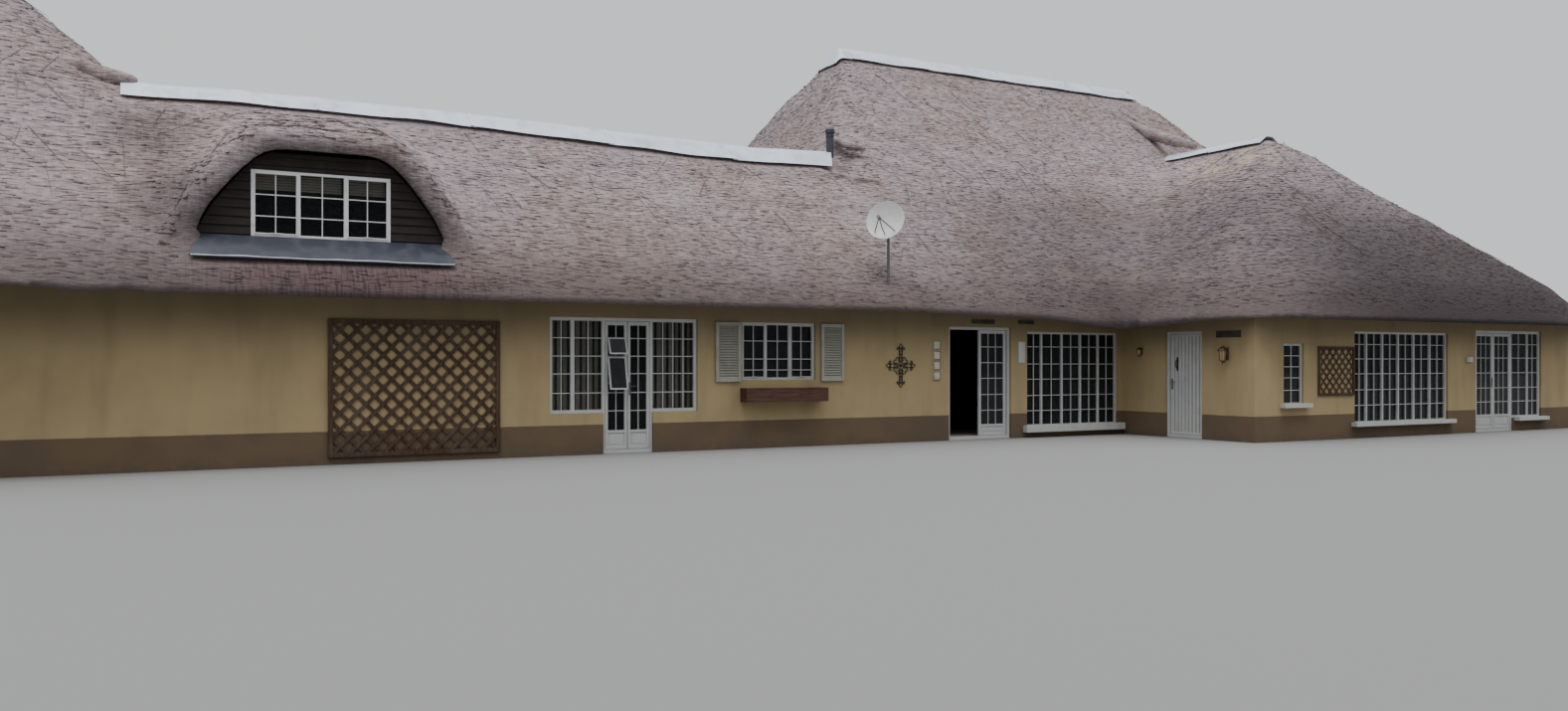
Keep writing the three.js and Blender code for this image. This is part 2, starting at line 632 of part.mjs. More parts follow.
addPiece('wing_door_frame', joined([
  panel([
    [WING_DOOR.x0 + GAP, 0], [WING_DOOR.x1, 0], [WING_DOOR.x1, WING_DOOR.sill + GAP],
    [WING_DOOR.end - GAP, WING_DOOR.sill + GAP], [WING_DOOR.end - GAP, WING_DOOR.head - GAP],
    [WING_DOOR.x0 + GAP, WING_DOOR.head - GAP],
  ], [
    [WING_DOOR.x0 + 50, WING_DOOR.x1 - 45, FLOOR_TOP, WING_DOOR.head - 50],
    [WING_DOOR.x1 + 5, WING_DOOR.end - 50, WING_DOOR.sill + 50, WING_DOOR.head - 50],
  ], wingY(SET_IN), wingY(FRAME_BACK)),
  boxSolid(WING_DOOR.x1 - 10, WING_DOOR.end - 30, wingY(70), wingY(76),
    WING_DOOR.sill + 30, WING_DOOR.head - 30),
  boxSolid(WING_DOOR.x1 + 20, WING_DOOR.end + SILL_REACH, WING_FRONT - SILL_DEEP, WING_FRONT - GAP,
    WING_DOOR.sill - 50, WING_DOOR.sill + SILL_TOP),
  boxSolid(WING_DOOR.x1 + 20, WING_DOOR.end - 1, wingY(-20), wingY(SET_IN + 20),
    WING_DOOR.sill + 1, WING_DOOR.sill + SILL_TOP),
]), WHITE);
addPiece('rear_window_frame', joined([
  frameOf(REAR_WINDOW, [19560, 20230], RIM, TALL_BACK - FRAME_BACK, TALL_BACK - SET_IN),
  boxSolid(REAR_WINDOW[0] + 20, REAR_WINDOW[1] - 20, TALL_BACK - 70, TALL_BACK - 64,
    REAR_WINDOW[2] + 20, REAR_WINDOW[3] - 20),
]), WHITE);
addPiece('range_rear_window_frame', joined([
  frameOf(RANGE_WINDOW, [6260, 6730], RIM, RANGE_BACK - FRAME_BACK, RANGE_BACK - SET_IN),
  boxSolid(RANGE_WINDOW[0] + 20, RANGE_WINDOW[1] - 20, RANGE_BACK - 70, RANGE_BACK - 64,
    RANGE_WINDOW[2] + 20, RANGE_WINDOW[3] - 20),
]), WHITE);

// Door frames: two jambs, a head and a threshold
function doorFrame(x0, x1, head, y0, y1, jamb = 50) {
  return panel(
    rectangle(x0 + GAP, x1 - GAP, 0, head - GAP),
    [[x0 + jamb, x1 - jamb, FLOOR_TOP, head - 50]], y0, y1,
  );
}

addPiece('front_door_frame', doorFrame(
  FRONT_DOOR.x0, FRONT_DOOR.x1, FRONT_DOOR.head, SET_IN, SET_IN + 100,
), WHITE);

// A door leaf turned about a pin at one edge. It is drawn closed along +X from the pin, opening
// to one side, with its own pivot at the pin, and stands on pins that meet head and threshold.
// Its pane starts at panelTop, above a solid panel.
const PIN = 4;

function leaf(width, height, side, stile, panelTop) {
  const y0 = side > 0 ? -LEAF : 0;
  const pane = [stile, width - stile, panelTop, height - 75];
  const slabBody = panel(rectangle(0, width, 0, height), [pane], y0, y0 + LEAF);
  const sheet = boxSolid(stile / 2, width - stile / 2, y0 + 18, y0 + 26, panelTop - 40, height - 50);
  const pins = [
    post(0, 0, -DOOR_GAP + 0.3, 12, PIN, 8),
    post(0, 0, height - 12, height + DOOR_GAP - 0.3, PIN, 8),
  ];
  return joined([slabBody, sheet, ...pins]);
}

// mirror = true hangs the leaf from its right edge
function hang(name, body, x, y, z, mirror, turn, look) {
  let geometry = geometryOf(body);
  if (mirror) {
    geometry.scale(-1, 1, 1);
    geometry = mirrorSafe(geometry);
  }
  const mesh = new THREE.Mesh(geometry, new THREE.MeshStandardMaterial(look));
  mesh.name = name;
  mesh.position.set(x, y, z);
  mesh.rotation.z = turn;
  house.add(mesh);
}

const LEAF_Z = FLOOR_TOP + DOOR_GAP;
const leafHeight = (head) => head - 50 - DOOR_GAP - LEAF_Z;

// Patio doors open outwards
const patioLeft = PATIO.doorLeft + 40 + DOOR_GAP;
const patioRight = PATIO.doorRight - 40 - DOOR_GAP;
const patioWidth = (patioRight - patioLeft - MEETING_GAP) / 2;
const patioHeight = leafHeight(PATIO.head);
const patioLeaf = leaf(patioWidth, patioHeight, -1, 48, 290);
hang('patio_door_left', patioLeaf, patioLeft, SET_IN + 2, LEAF_Z, false, 0, WHITE);
hang('patio_door_right', patioLeaf, patioRight, SET_IN + 2, LEAF_Z, true, 0, WHITE);

// Front doors open inwards; the left one stands open
const frontLeft = FRONT_DOOR.x0 + 50 + DOOR_GAP;
const frontRight = FRONT_DOOR.x1 - 50 - DOOR_GAP;
const frontHeight = leafHeight(FRONT_DOOR.head);
const FRONT_AXIS_Y = SET_IN + 90;
hang('front_door_left', leaf(FRONT_DOOR.split - MEETING_GAP / 2 - frontLeft, frontHeight, 1, 62, 200),
  frontLeft, FRONT_AXIS_Y, LEAF_Z, false, Math.PI / 2, WHITE);
hang('front_door_right', leaf(frontRight - FRONT_DOOR.split - MEETING_GAP / 2, frontHeight, 1, 62, 200),
  frontRight, FRONT_AXIS_Y, LEAF_Z, true, 0, WHITE);

// Wing doors open outwards
const wingDoorLeft = WING_DOOR.x0 + 50 + DOOR_GAP;
const wingDoorRight = WING_DOOR.x1 - 45 - DOOR_GAP;
const wingDoorWidth = (wingDoorRight - wingDoorLeft - MEETING_GAP) / 2;
const wingDoorHeight = leafHeight(WING_DOOR.head);
const wingLeaf = leaf(wingDoorWidth, wingDoorHeight, -1, 58, 280);
hang('wing_door_left', wingLeaf, wingDoorLeft, wingY(SET_IN + 2), LEAF_Z, false, 0, WHITE);
hang('wing_door_right', wingLeaf, wingDoorRight, wingY(SET_IN + 2), LEAF_Z, true, 0, WHITE);

// Side door in the return wall: its frame and leaf are drawn flat, then turned to face -X
const sideWidth = SIDE_DOOR.back - SIDE_DOOR.front;
const sideFrame = new THREE.Mesh(
  geometryOf(doorFrame(0, sideWidth, SIDE_DOOR.head, 0, 100)), new THREE.MeshStandardMaterial(WHITE),
);
sideFrame.name = 'side_door_frame';
sideFrame.position.set(WING_LEFT + SET_IN, SIDE_DOOR.back, 0);
sideFrame.rotation.z = -Math.PI / 2;
house.add(sideFrame);

// The leaf hangs from its front edge, at the right seen from the porch, and opens inwards
const sideLeafWidth = sideWidth - 100 - 2 * DOOR_GAP - 2;
const sideHeight = leafHeight(SIDE_DOOR.head);
const sideLeaf = joined([
  panel(rectangle(0, sideLeafWidth, 0, sideHeight), [], -LEAF, 0),
  post(0, 0, -DOOR_GAP + 0.3, 12, PIN, 8),
  post(0, 0, sideHeight - 12, sideHeight + DOOR_GAP - 0.3, PIN, 8),
]);
hang('side_door', sideLeaf, WING_LEFT + SET_IN + 90, SIDE_DOOR.front + 50 + DOOR_GAP, LEAF_Z,
  true, -Math.PI / 2, WHITE);

// Shutters and window box
addPiece('shutter_left', box(8290, 8740, -45, -GAP, 1095, 2065), SAGE);
addPiece('shutter_right', box(10270, 10720, -45, -GAP, 1095, 2065), SAGE);
addPiece('window_box', boxSolid(8740, 10280, -250, -GAP, 760, 990)
  .subtract(boxSolid(8765, 10255, -225, -25, 785, 1100)), BROWN);

// Trellis: a framed sheet of crossed laths, here as a plate with diamond gaps
function trellis(x0, x1, z0, z1, rim, pitch, lath, y0, y1) {
  const diamonds = [];
  const half = (pitch - lath * Math.SQRT2) / 2;
  const columns = Math.floor((x1 - x0 - 2 * rim) / pitch);
  const rows = Math.floor((z1 - z0 - 2 * rim) / pitch);
  const startX = (x0 + x1) / 2 - (columns * pitch) / 2;
  const startZ = (z0 + z1) / 2 - (rows * pitch) / 2;
  for (let row = 0; row <= 2 * rows; row += 1) {
    const odd = row % 2 === 1;
    for (let column = 0; column <= columns; column += 1) {
      const cx = startX + column * pitch + (odd ? 0 : pitch / 2);
      const cz = startZ + (row * pitch) / 2;
      const corners = [
        [cx, cz - half], [cx - half, cz], [cx, cz + half], [cx + half, cz],
      ];
      const inside = corners.every(([x, z]) => (
        x > x0 + rim - 1 && x < x1 - rim + 1 && z > z0 + rim - 1 && z < z1 - rim + 1
      ));
      if (inside) {
        const side = half * Math.SQRT2;
        const diamond = new THREE.BoxGeometry(side, y1 - y0 + 40, side);
        diamond.rotateY(Math.PI / 4);
        diamond.translate(cx, (y0 + y1) / 2, cz);
        diamonds.push(solidOf(diamond));
      }
    }
  }
  return cutBy(boxSolid(x0, x1, y0, y1, z0, z1), diamonds);
}

addPiece('trellis_left', trellis(2400, 4780, 100, 2010, 60, 230, 50, -40, -GAP), BROWN);
addPiece('trellis_right', trellis(
  18910, 19930, 800, 1700, 45, 180, 35, WING_FRONT - 30, WING_FRONT - GAP,
), BROWN);

// Wrought-iron cross with four scrolls, fixed flat on the wall
function ring(x, z, radius, tube, y) {
  const geometry = new THREE.TorusGeometry(radius, tube, 6, 14);
  geometry.rotateX(Math.PI / 2);
  geometry.translate(x, y, z);
  return solidOf(geometry);
}

const CROSS_X = 11910;
const CROSS_Z = 1355;
addPiece('iron_cross', joined([
  boxSolid(CROSS_X - 12, CROSS_X + 12, -22, -GAP, CROSS_Z - 395, CROSS_Z + 395),
  boxSolid(CROSS_X - 320, CROSS_X + 320, -22, -GAP, CROSS_Z - 12, CROSS_Z + 12),
  ...[[-1, -1], [-1, 1], [1, -1], [1, 1]].map(([i, j]) => (
    ring(CROSS_X + i * 88, CROSS_Z + j * 88, 84, 9, -12)
  )),
]), IRON);

// Wall lanterns on the return wall: a bracket plate, an arm and a tapered lamp with a roof
function lantern(y, z, size) {
  const reach = 95 * size;
  const x = WING_LEFT - GAP;
  const lamp = new THREE.CylinderGeometry(58 * size, 38 * size, 150 * size, 6);
  lamp.rotateX(Math.PI / 2);
  lamp.translate(x - reach, y, z);
  const roof = new THREE.ConeGeometry(75 * size, 70 * size, 6);
  roof.rotateX(Math.PI / 2);
  roof.translate(x - reach, y, z + 105 * size);
  return joined([
    boxSolid(x - 12, x, y - 35 * size, y + 35 * size, z - 60 * size, z + 150 * size),
    boxSolid(x - reach, x - 6, y - 8, y + 8, z + 70 * size, z + 86 * size),
    solidOf(lamp),
    solidOf(roof),
  ]);
}

addPiece('wall_lantern_small', lantern(-500, 1600, 0.75), IRON);
addPiece('wall_lantern_large', lantern(-2540, 1530, 1.25), IRON);

// Satellite dish on a mast that stands on the front slope
const DISH_X = 11450;
const DISH_Y = -300;
const DISH_Z = 3850;
const DISH_TURN = new THREE.Euler(THREE.MathUtils.degToRad(70), 0, THREE.MathUtils.degToRad(-52), 'ZXY');

function dishBody() {
  const profile = [];
  for (let i = 0; i <= 5; i += 1) {
    const r = (320 * i) / 5;
    profile.push(new THREE.Vector2(r, (r * r) / 1500));
  }
  for (let i = 5; i >= 0; i -= 1) {
    const r = (320 * i) / 5;
    profile.push(new THREE.Vector2(r, (r * r) / 1500 - 14));
  }
  const bowl = new THREE.LatheGeometry(profile, 20);
  bowl.rotateX(Math.PI / 2);
  return bowl;
}

const dishMatrix = new THREE.Matrix4().compose(
  new THREE.Vector3(DISH_X, DISH_Y - 60, DISH_Z),
  new THREE.Quaternion().setFromEuler(DISH_TURN),
  new THREE.Vector3(1, 1, 1),
);
const dishArm = new THREE.CylinderGeometry(11, 11, 420, 8);
dishArm.rotateX(Math.PI / 2);
dishArm.rotateX(-0.35);
dishArm.translate(0, -150, 190);
const dishHead = new THREE.CylinderGeometry(32, 32, 90, 10);
dishHead.rotateX(Math.PI / 2);
dishHead.translate(0, -75, 395);
const dishBack = new THREE.BoxGeometry(60, 60, 110);
dishBack.translate(0, 0, -50);
const mastFoot = thatchTall(DISH_Y) - 60;

function thatchTall(y) {
  return EAVE_TOP + (y - TALL_ROOF.y0) * (TALL_ROOF.rise / TALL_ROOF.runs[1]);
}

addPiece('satellite_dish', joined([
  solidOf(dishBody().applyMatrix4(dishMatrix)),
  solidOf(dishArm.applyMatrix4(dishMatrix)),
  solidOf(dishHead.applyMatrix4(dishMatrix)),
  solidOf(dishBack.applyMatrix4(dishMatrix)),
  post(DISH_X, DISH_Y, mastFoot, DISH_Z + 20, 24, 12),
]).subtract(outer.tall).subtract(outer.main), GREY_METAL);

// The origin is at the bottom centre of the bounding box
const bounds = new THREE.Box3().setFromObject(house);
const centre = bounds.getCenter(new THREE.Vector3());
house.position.set(-centre.x, -centre.y, 0);

export default house;
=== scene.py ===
"""Looks of a long thatched cottage, in metres, with its front towards -Y.

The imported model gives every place. Walls and floors keep their solids and get a finish, and the
thatch, the joinery and the small fittings are modelled over theirs in finer detail.
"""

import json
import logging
import math
from dataclasses import dataclass
from enum import Enum
from typing import Any, Callable, Optional, Sequence

import bpy
import numpy as np
from mathutils import Matrix, Vector, noise
from mathutils.bvhtree import BVHTree

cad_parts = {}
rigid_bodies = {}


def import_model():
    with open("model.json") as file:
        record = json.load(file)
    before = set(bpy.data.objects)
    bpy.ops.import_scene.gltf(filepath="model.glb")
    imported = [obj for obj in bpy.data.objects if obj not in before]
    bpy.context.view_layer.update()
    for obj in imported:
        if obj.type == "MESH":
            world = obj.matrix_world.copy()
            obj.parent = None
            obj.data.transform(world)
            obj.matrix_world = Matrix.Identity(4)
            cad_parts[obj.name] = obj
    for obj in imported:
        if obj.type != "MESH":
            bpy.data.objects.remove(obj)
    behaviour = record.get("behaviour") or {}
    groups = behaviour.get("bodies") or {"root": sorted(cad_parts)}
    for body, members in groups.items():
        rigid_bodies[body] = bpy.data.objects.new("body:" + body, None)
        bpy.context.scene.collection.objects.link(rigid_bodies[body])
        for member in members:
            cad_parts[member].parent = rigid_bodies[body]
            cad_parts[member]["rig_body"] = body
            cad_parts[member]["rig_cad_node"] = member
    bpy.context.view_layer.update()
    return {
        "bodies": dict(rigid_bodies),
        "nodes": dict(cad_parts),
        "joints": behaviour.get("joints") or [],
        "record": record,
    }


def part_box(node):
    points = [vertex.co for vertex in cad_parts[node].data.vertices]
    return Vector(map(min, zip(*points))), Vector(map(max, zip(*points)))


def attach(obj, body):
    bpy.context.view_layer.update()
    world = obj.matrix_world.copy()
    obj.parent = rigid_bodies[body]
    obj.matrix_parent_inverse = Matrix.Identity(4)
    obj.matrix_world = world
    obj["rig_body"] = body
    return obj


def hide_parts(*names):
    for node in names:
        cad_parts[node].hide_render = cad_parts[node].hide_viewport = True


LOG = logging.getLogger("cottage")

Vec3 = tuple[float, float, float]
Socket = bpy.types.NodeSocket
Thing = bpy.types.Object
Material = bpy.types.Material

HOUSE = "house"

# The house was measured from a corner near the left end of the main ridge, on the front wall.
MEASURED_FROM = Vector((-10.3, -4.43, 0.0))

# Frames of doors and windows
FRAME_DEPTH = 0.05
FIT = 0.0004
LEAF_THICK = 0.044
PIN_RADIUS = 0.004
PIN_REACH = 0.0057

# Heights of the level glazing bars of the three door pairs
PATIO_LEVELS = (1.783, 1.506, 1.234, 0.940, 0.659)
FRONT_LEVELS = (1.698, 1.406, 1.117, 0.817, 0.525)
WING_LEVELS = (1.787, 1.502, 1.197, 0.891, 0.606)

# What is loaded or made while the script runs
FRAME: dict[str, Any] = {}
MATERIALS: dict[str, Material] = {}


class Slot(Enum):
    """Material slots of the record."""

    PLASTER = "plaster"
    THATCH = "thatch"
    RIDGE_METAL = "ridge_metal"
    WHITE_STEEL = "white_steel"
    GLASS = "window_glass"
    BROWN_TIMBER = "brown_timber"
    DARK_BOARDS = "dark_boards"
    APRON = "slate_blue_apron"
    SAGE = "sage_shutter"
    IRON = "black_iron"
    SCREED = "floor_screed"
    GREY_METAL = "grey_metal"


class Grain(Enum):
    """The way that the fibres of a board run, as the stretch of its pattern."""

    ALONG_X = (2.0, 40.0, 40.0)
    ALONG_Y = (40.0, 2.0, 40.0)
    ALONG_Z = (40.0, 40.0, 2.0)


def at(x: float, y: float, z: float) -> Vector:
    """A measured point in the row frame."""
    return MEASURED_FROM + Vector((x, y, z))


def solid_of(name: str) -> Thing:
    """The solid of a node."""
    return FRAME["nodes"][name]


def share_of(value: float, start: float, end: float) -> float:
    """How far a value has come from a start to an end, kept from 0 to 1."""
    return min(1.0, max(0.0, (value - start) / (end - start)))


# Node graphs


class Wiring:
    """Short calls that add nodes to one tree and link them."""

    def __init__(self, tree: bpy.types.NodeTree) -> None:
        """Takes the tree to work on."""
        self.tree = tree

    def node(self, kind: str, feeds: Optional[dict[Any, Any]] = None, **settings: Any) -> bpy.types.Node:
        """Adds a node, sets it up and feeds it.

        Args:
            kind: Blender's name for the kind of node.
            feeds: a socket or a plain value for each input, by its name or number.
            settings: its settings by name.

        Returns:
            The new node.
        """
        node = self.tree.nodes.new(kind)
        for name, value in settings.items():
            setattr(node, name, value)
        for pin, value in (feeds or {}).items():
            self.feed(value, node.inputs[pin])
        return node

    def feed(self, value: Any, socket: Socket) -> None:
        """Links a socket, or sets a plain value on it."""
        if isinstance(value, Socket):
            self.tree.links.new(value, socket)
        else:
            socket.default_value = (*value, 1.0) if socket.type == "RGBA" else value


class Graph(Wiring):
    """Node graph of one material."""

    def __init__(self, name: str) -> None:
        """Starts a material with one Principled shader and Object coordinates."""
        self.material = bpy.data.materials.new(name)
        self.material.use_nodes = True
        super().__init__(self.material.node_tree)
        self.tree.nodes.clear()
        self.shader = self.node("ShaderNodeBsdfPrincipled")
        self.node("ShaderNodeOutputMaterial", {"Surface": self.shader.outputs[0]})
        self.place = self.node("ShaderNodeTexCoord").outputs["Object"]

    def set(self, **values: Any) -> None:
        """Sets inputs of the shader; an underscore in a name stands for a blank."""
        for name, value in values.items():
            self.feed(value, self.shader.inputs[name.replace("_", " ")])

    def stretch(self, scale: Vec3, shift: Vec3 = (0.0, 0.0, 0.0), where: Optional[Socket] = None) -> Socket:
        """Object coordinates, or others, scaled and then shifted."""
        feeds = {"Vector": where or self.place, "Scale": scale, "Location": shift}
        return self.node("ShaderNodeMapping", feeds).outputs[0]

    def noise(
        self, scale: float, detail: float = 3.0, where: Optional[Socket] = None, rough: float = 0.55,
    ) -> Socket:
        """Cloudy noise from 0 to 1."""
        feeds = {"Vector": where or self.place, "Scale": scale, "Detail": detail, "Roughness": rough}
        return self.node("ShaderNodeTexNoise", feeds).outputs[0]

    def warp(self, scale: float, amount: float) -> Socket:
        """Object coordinates pushed about by a slow noise, in metres."""
        cloud = self.node("ShaderNodeTexNoise", {"Vector": self.place, "Scale": scale}).outputs["Color"]
        drift = self.node("ShaderNodeVectorMath", {0: cloud, 1: (0.5, 0.5, 0.5)}, operation="SUBTRACT")
        drift = self.node("ShaderNodeVectorMath", {0: drift.outputs[0], "Scale": amount}, operation="SCALE")
        bent = self.node("ShaderNodeVectorMath", {0: self.place, 1: drift.outputs[0]}, operation="ADD")
        return bent.outputs[0]

    def cells(self, scale: float) -> Socket:
        """One random grey for each cell of a Voronoi pattern."""
        colour = self.node("ShaderNodeTexVoronoi", {"Vector": self.place, "Scale": scale}).outputs["Color"]
        return self.node("ShaderNodeSeparateColor", {0: colour}).outputs[0]

    def mark(self, name: str) -> Socket:
        """A number stored on the surface."""
        return self.node("ShaderNodeAttribute", attribute_name=name).outputs["Fac"]

    def height(self) -> Socket:
        """The height above the ground."""
        return self.node("ShaderNodeSeparateXYZ", {0: self.place}).outputs["Z"]

    def fade(self, value: Socket, low: float, high: float) -> Socket:
        """A smooth step from 0 at low to 1 at high."""
        feeds = {"Value": value, "From Min": low, "From Max": high}
        return self.node("ShaderNodeMapRange", feeds, interpolation_type="SMOOTHSTEP").outputs[0]

    def clouds(self, scale: float, detail: float, low: float, high: float) -> Socket:
        """Patches of noise with soft edges."""
        return self.fade(self.noise(scale, detail), low, high)

    def runs(self, stretch: Vec3, detail: float, low: float, high: float) -> Socket:
        """Patches of noise drawn out along one axis."""
        return self.fade(self.noise(1.0, detail, self.stretch(stretch)), low, high)

    def times(self, a: Any, b: Any) -> Socket:
        """The product of two values, kept from 0 to 1."""
        return self.node("ShaderNodeMath", {0: a, 1: b}, operation="MULTIPLY", use_clamp=True).outputs[0]

    def plus(self, a: Any, b: Any) -> Socket:
        """The sum of two values, kept from 0 to 1."""
        return self.node("ShaderNodeMath", {0: a, 1: b}, operation="ADD", use_clamp=True).outputs[0]

    def mix(self, factor: Any, a: Any, b: Any) -> Socket:
        """Mixes two colours."""
        return self.node("ShaderNodeMix", {0: factor, 6: a, 7: b}, data_type="RGBA").outputs[2]

    def tint(self, base: Any, mask: Socket, amount: float, colour: Any) -> Socket:
        """Lays a colour over a base where the mask is, as strong as the amount."""
        return self.mix(self.times(mask, amount), base, colour)

    def spot(self, centre: Vec3, reach: Vec3) -> Socket:
        """1 at a measured place, falling to 0 at its reach along each axis."""
        scale = tuple(1.0 / r for r in reach)
        shift = tuple(-c * s for c, s in zip(at(*centre), scale))
        length = self.node("ShaderNodeVectorMath", {0: self.stretch(scale, shift)}, operation="LENGTH")
        return self.fade(length.outputs["Value"], 1.0, 0.25)

    def bump(self, height: Socket, strength: float, distance: float) -> None:
        """Raises the surface by a height, in metres."""
        feeds = {"Strength": strength, "Distance": distance, "Height": height}
        self.set(Normal=self.node("ShaderNodeBump", feeds).outputs[0])


# Finishes


@dataclass(frozen=True)
class Finish:
    """A finish and the record's slot that it belongs to."""

    name: str
    slot: Slot

    def material(self) -> Material:
        """The material, made when it is first asked for."""
        if self.name not in MATERIALS:
            graph = Graph(self.name)
            self.paint(graph)
            MATERIALS[self.name] = graph.material
        return MATERIALS[self.name]

    def paint(self, g: Graph) -> None:
        """Lays the nodes of the finish."""
        raise NotImplementedError


@dataclass(frozen=True)
class ThatchFinish(Finish):
    """Weathered reed: mauve grey in short level ripples, browner patches, pale valleys, dark eaves and
    painted shade in hollows and on shaded roofs.
    """

    strands: bool = False
    dimmed: float = 0.0
    grey: Vec3 = (0.305, 0.250, 0.265)
    brown: Vec3 = (0.270, 0.200, 0.180)
    pale: Vec3 = (0.445, 0.385, 0.390)
    dark: Vec3 = (0.085, 0.066, 0.070)
    straw: Vec3 = (0.450, 0.365, 0.275)
    lower_dark: Vec3 = (0.120, 0.090, 0.086)
    shade: Vec3 = (0.040, 0.033, 0.037)
    wine: Vec3 = (0.135, 0.085, 0.086)

    def paint(self, g: Graph) -> None:
        """Sums ripples, fibres and grit to one tone, paints shade in its low places and highlight on its high
        ones, and lays patches and weather over it.
        """
        bent = g.warp(1.7, 0.16)
        ripples = g.noise(1.0, 5.0, g.stretch((7.0, 7.0, 46.0), where=bent), 0.62)
        fibres = self.fibres(g)
        grit = g.noise(75.0, 2.0)
        tone = self.blend(g, (ripples, 0.66), (fibres, 0.18), (grit, 0.16))
        if self.strands:
            tone = self.blend(g, (g.mark("shade"), 0.12), (ripples, 0.68), (grit, 0.18))
        clouds = g.clouds(2.1, 5.0, 0.35, 0.70)
        courses = g.fade(g.noise(1.0, 3.0, g.stretch((0.5, 0.5, 4.5), where=bent)), 0.35, 0.68)
        base = g.tint(self.grey, g.clouds(0.45, 4.0, 0.42, 0.64), 0.8, self.brown)
        base = g.tint(base, clouds, 0.30, self.pale)
        base = g.tint(base, courses, 0.22, self.dark)
        # Painted shade in the low places of the reed relief and painted highlight on its raised places, from
        # the same tone that drives the bump.
        base = g.tint(base, g.fade(tone, 0.50, 0.36), 0.86, self.dark)
        base = g.tint(base, g.fade(tone, 0.51, 0.62), 0.78, self.pale)
        base = self.weather(g, base, clouds, fibres)
        g.set(Base_Color=g.mix(self.dimmed, base, self.shade), Roughness=0.93, Specular_IOR_Level=0.15)
        g.bump(tone, 0.9, 0.035)

    def fibres(self, g: Graph) -> Socket:
        """Reed that runs down the slope, by the way that the slope faces."""
        front = g.noise(1.0, 4.0, g.stretch((30.0, 3.5, 3.5)))
        hip = g.noise(1.0, 4.0, g.stretch((3.5, 30.0, 3.5)))
        return g.mix(g.mark("side"), front, hip)

    def blend(self, g: Graph, *parts: tuple[Socket, float]) -> Socket:
        """A weighted sum of patterns."""
        total = g.times(*parts[0])
        for part in parts[1:]:
            total = g.plus(total, g.times(*part))
        return total

    def weather(self, g: Graph, base: Socket, clouds: Socket, fibres: Socket) -> Socket:
        """Pale swept valleys, darker eaves, painted shade in hollows, creases and over shaded roofs, and the
        redder strip below the dormer.

        Args:
            g: the graph of the finish.
            base: the colour so far.
            clouds: soft patches that break the swept places up.
            fibres: the run of the reed, which streaks the strip.

        Returns:
            The colour with its weather and painted shade.
        """
        for centre, reach in (
            ((16.9, -1.0, 3.7), (0.8, 1.6, 1.5)),
            ((15.8, -0.3, 3.2), (0.5, 0.7, 0.8)),
            ((21.3, 1.2, 5.9), (1.2, 2.0, 1.0)),
            ((22.35, 3.1, 6.7), (0.7, 1.1, 0.5)),
        ):
            swept = g.times(g.spot(centre, reach), g.fade(clouds, 0.1, 0.9))
            base = g.tint(base, swept, 0.75, self.straw)
        # Darker towards the eaves, from 4.0 m down to 2.45 m.
        base = g.tint(base, g.fade(g.height(), 4.0, 2.45), 0.72, self.lower_dark)
        # Painted shade over the right wing and the front of the tall roof, in the valley by the left wing, in
        # the hood's left hollow, and in the crease and under the roll beside the flue.
        for centre, reach, amount in (
            ((23.2, -3.6, 3.2), (8.8, 5.2, 3.9), 0.84),
            ((17.6, 0.2, 4.0), (6.5, 3.5, 3.2), 0.52),
            ((0.3, 1.7, 4.6), (1.0, 1.3, 1.1), 0.45),
            ((0.6, 0.5, 3.5), (1.0, 1.3, 1.1), 0.50),
            ((12.20, 2.40, 5.36), (0.28, 0.40, 0.34), 0.75),
            ((12.02, 2.08, 5.05), (0.26, 0.30, 0.16), 0.75),
            ((12.38, 1.94, 4.92), (0.38, 0.30, 0.12), 0.65),
        ):
            base = g.tint(base, g.spot(centre, reach), amount, self.shade)
        streaks = g.mix(g.fade(fibres, 0.28, 0.60), self.shade, self.wine)
        return g.tint(base, g.spot((2.6, -0.60, 2.56), (2.9, 0.8, 0.50)), 0.88, streaks)


@dataclass(frozen=True)
class PlasterFinish(Finish):
    """Cream painted plaster over a brown dado band, with painted shade under the eaves, rain stains and
    splashes.
    """

    cream: Vec3 = (0.410, 0.315, 0.170)
    faded: Vec3 = (0.330, 0.252, 0.140)
    dado: Vec3 = (0.150, 0.104, 0.064)
    # Grime of the rain stains, the band and the splashes, and also the painted shade under the eaves.
    dirt_and_shade: Vec3 = (0.085, 0.070, 0.055)
    dado_top: float = 0.46

    def paint(self, g: Graph) -> None:
        """Lays the wall's colours above the band's, and splashes at the foot."""
        height = g.height()
        mottled = g.clouds(1.4, 5.0, 0.35, 0.75)
        grit = g.noise(140.0, 3.0)
        trowel = g.noise(9.0, 4.0)
        wall = g.tint(self.cream, mottled, 0.7, self.faded)
        wall = g.tint(wall, g.runs((3.2, 3.2, 0.45), 2.0, 0.45, 0.85), 0.22, self.dirt_and_shade)
        # Painted shade under the eaves: the wall grows darker from 1.35 m up to 2.25 m.
        wall = g.tint(wall, g.fade(height, 1.35, 2.25), 0.48, self.dirt_and_shade)
        band = g.tint(self.dado, mottled, 0.5, self.dirt_and_shade)
        edge = g.plus(height, g.times(trowel, 0.012))
        base = g.mix(g.fade(edge, self.dado_top + 0.008, self.dado_top), wall, band)
        splash = g.times(g.fade(height, 0.22, 0.0), g.clouds(7.0, 4.0, 0.3, 0.7))
        base = g.tint(base, splash, 0.55, self.dirt_and_shade)
        g.set(Base_Color=base, Roughness=0.88, Specular_IOR_Level=0.25)
        g.bump(g.plus(g.times(grit, 0.35), g.times(trowel, 0.6)), 0.5, 0.006)


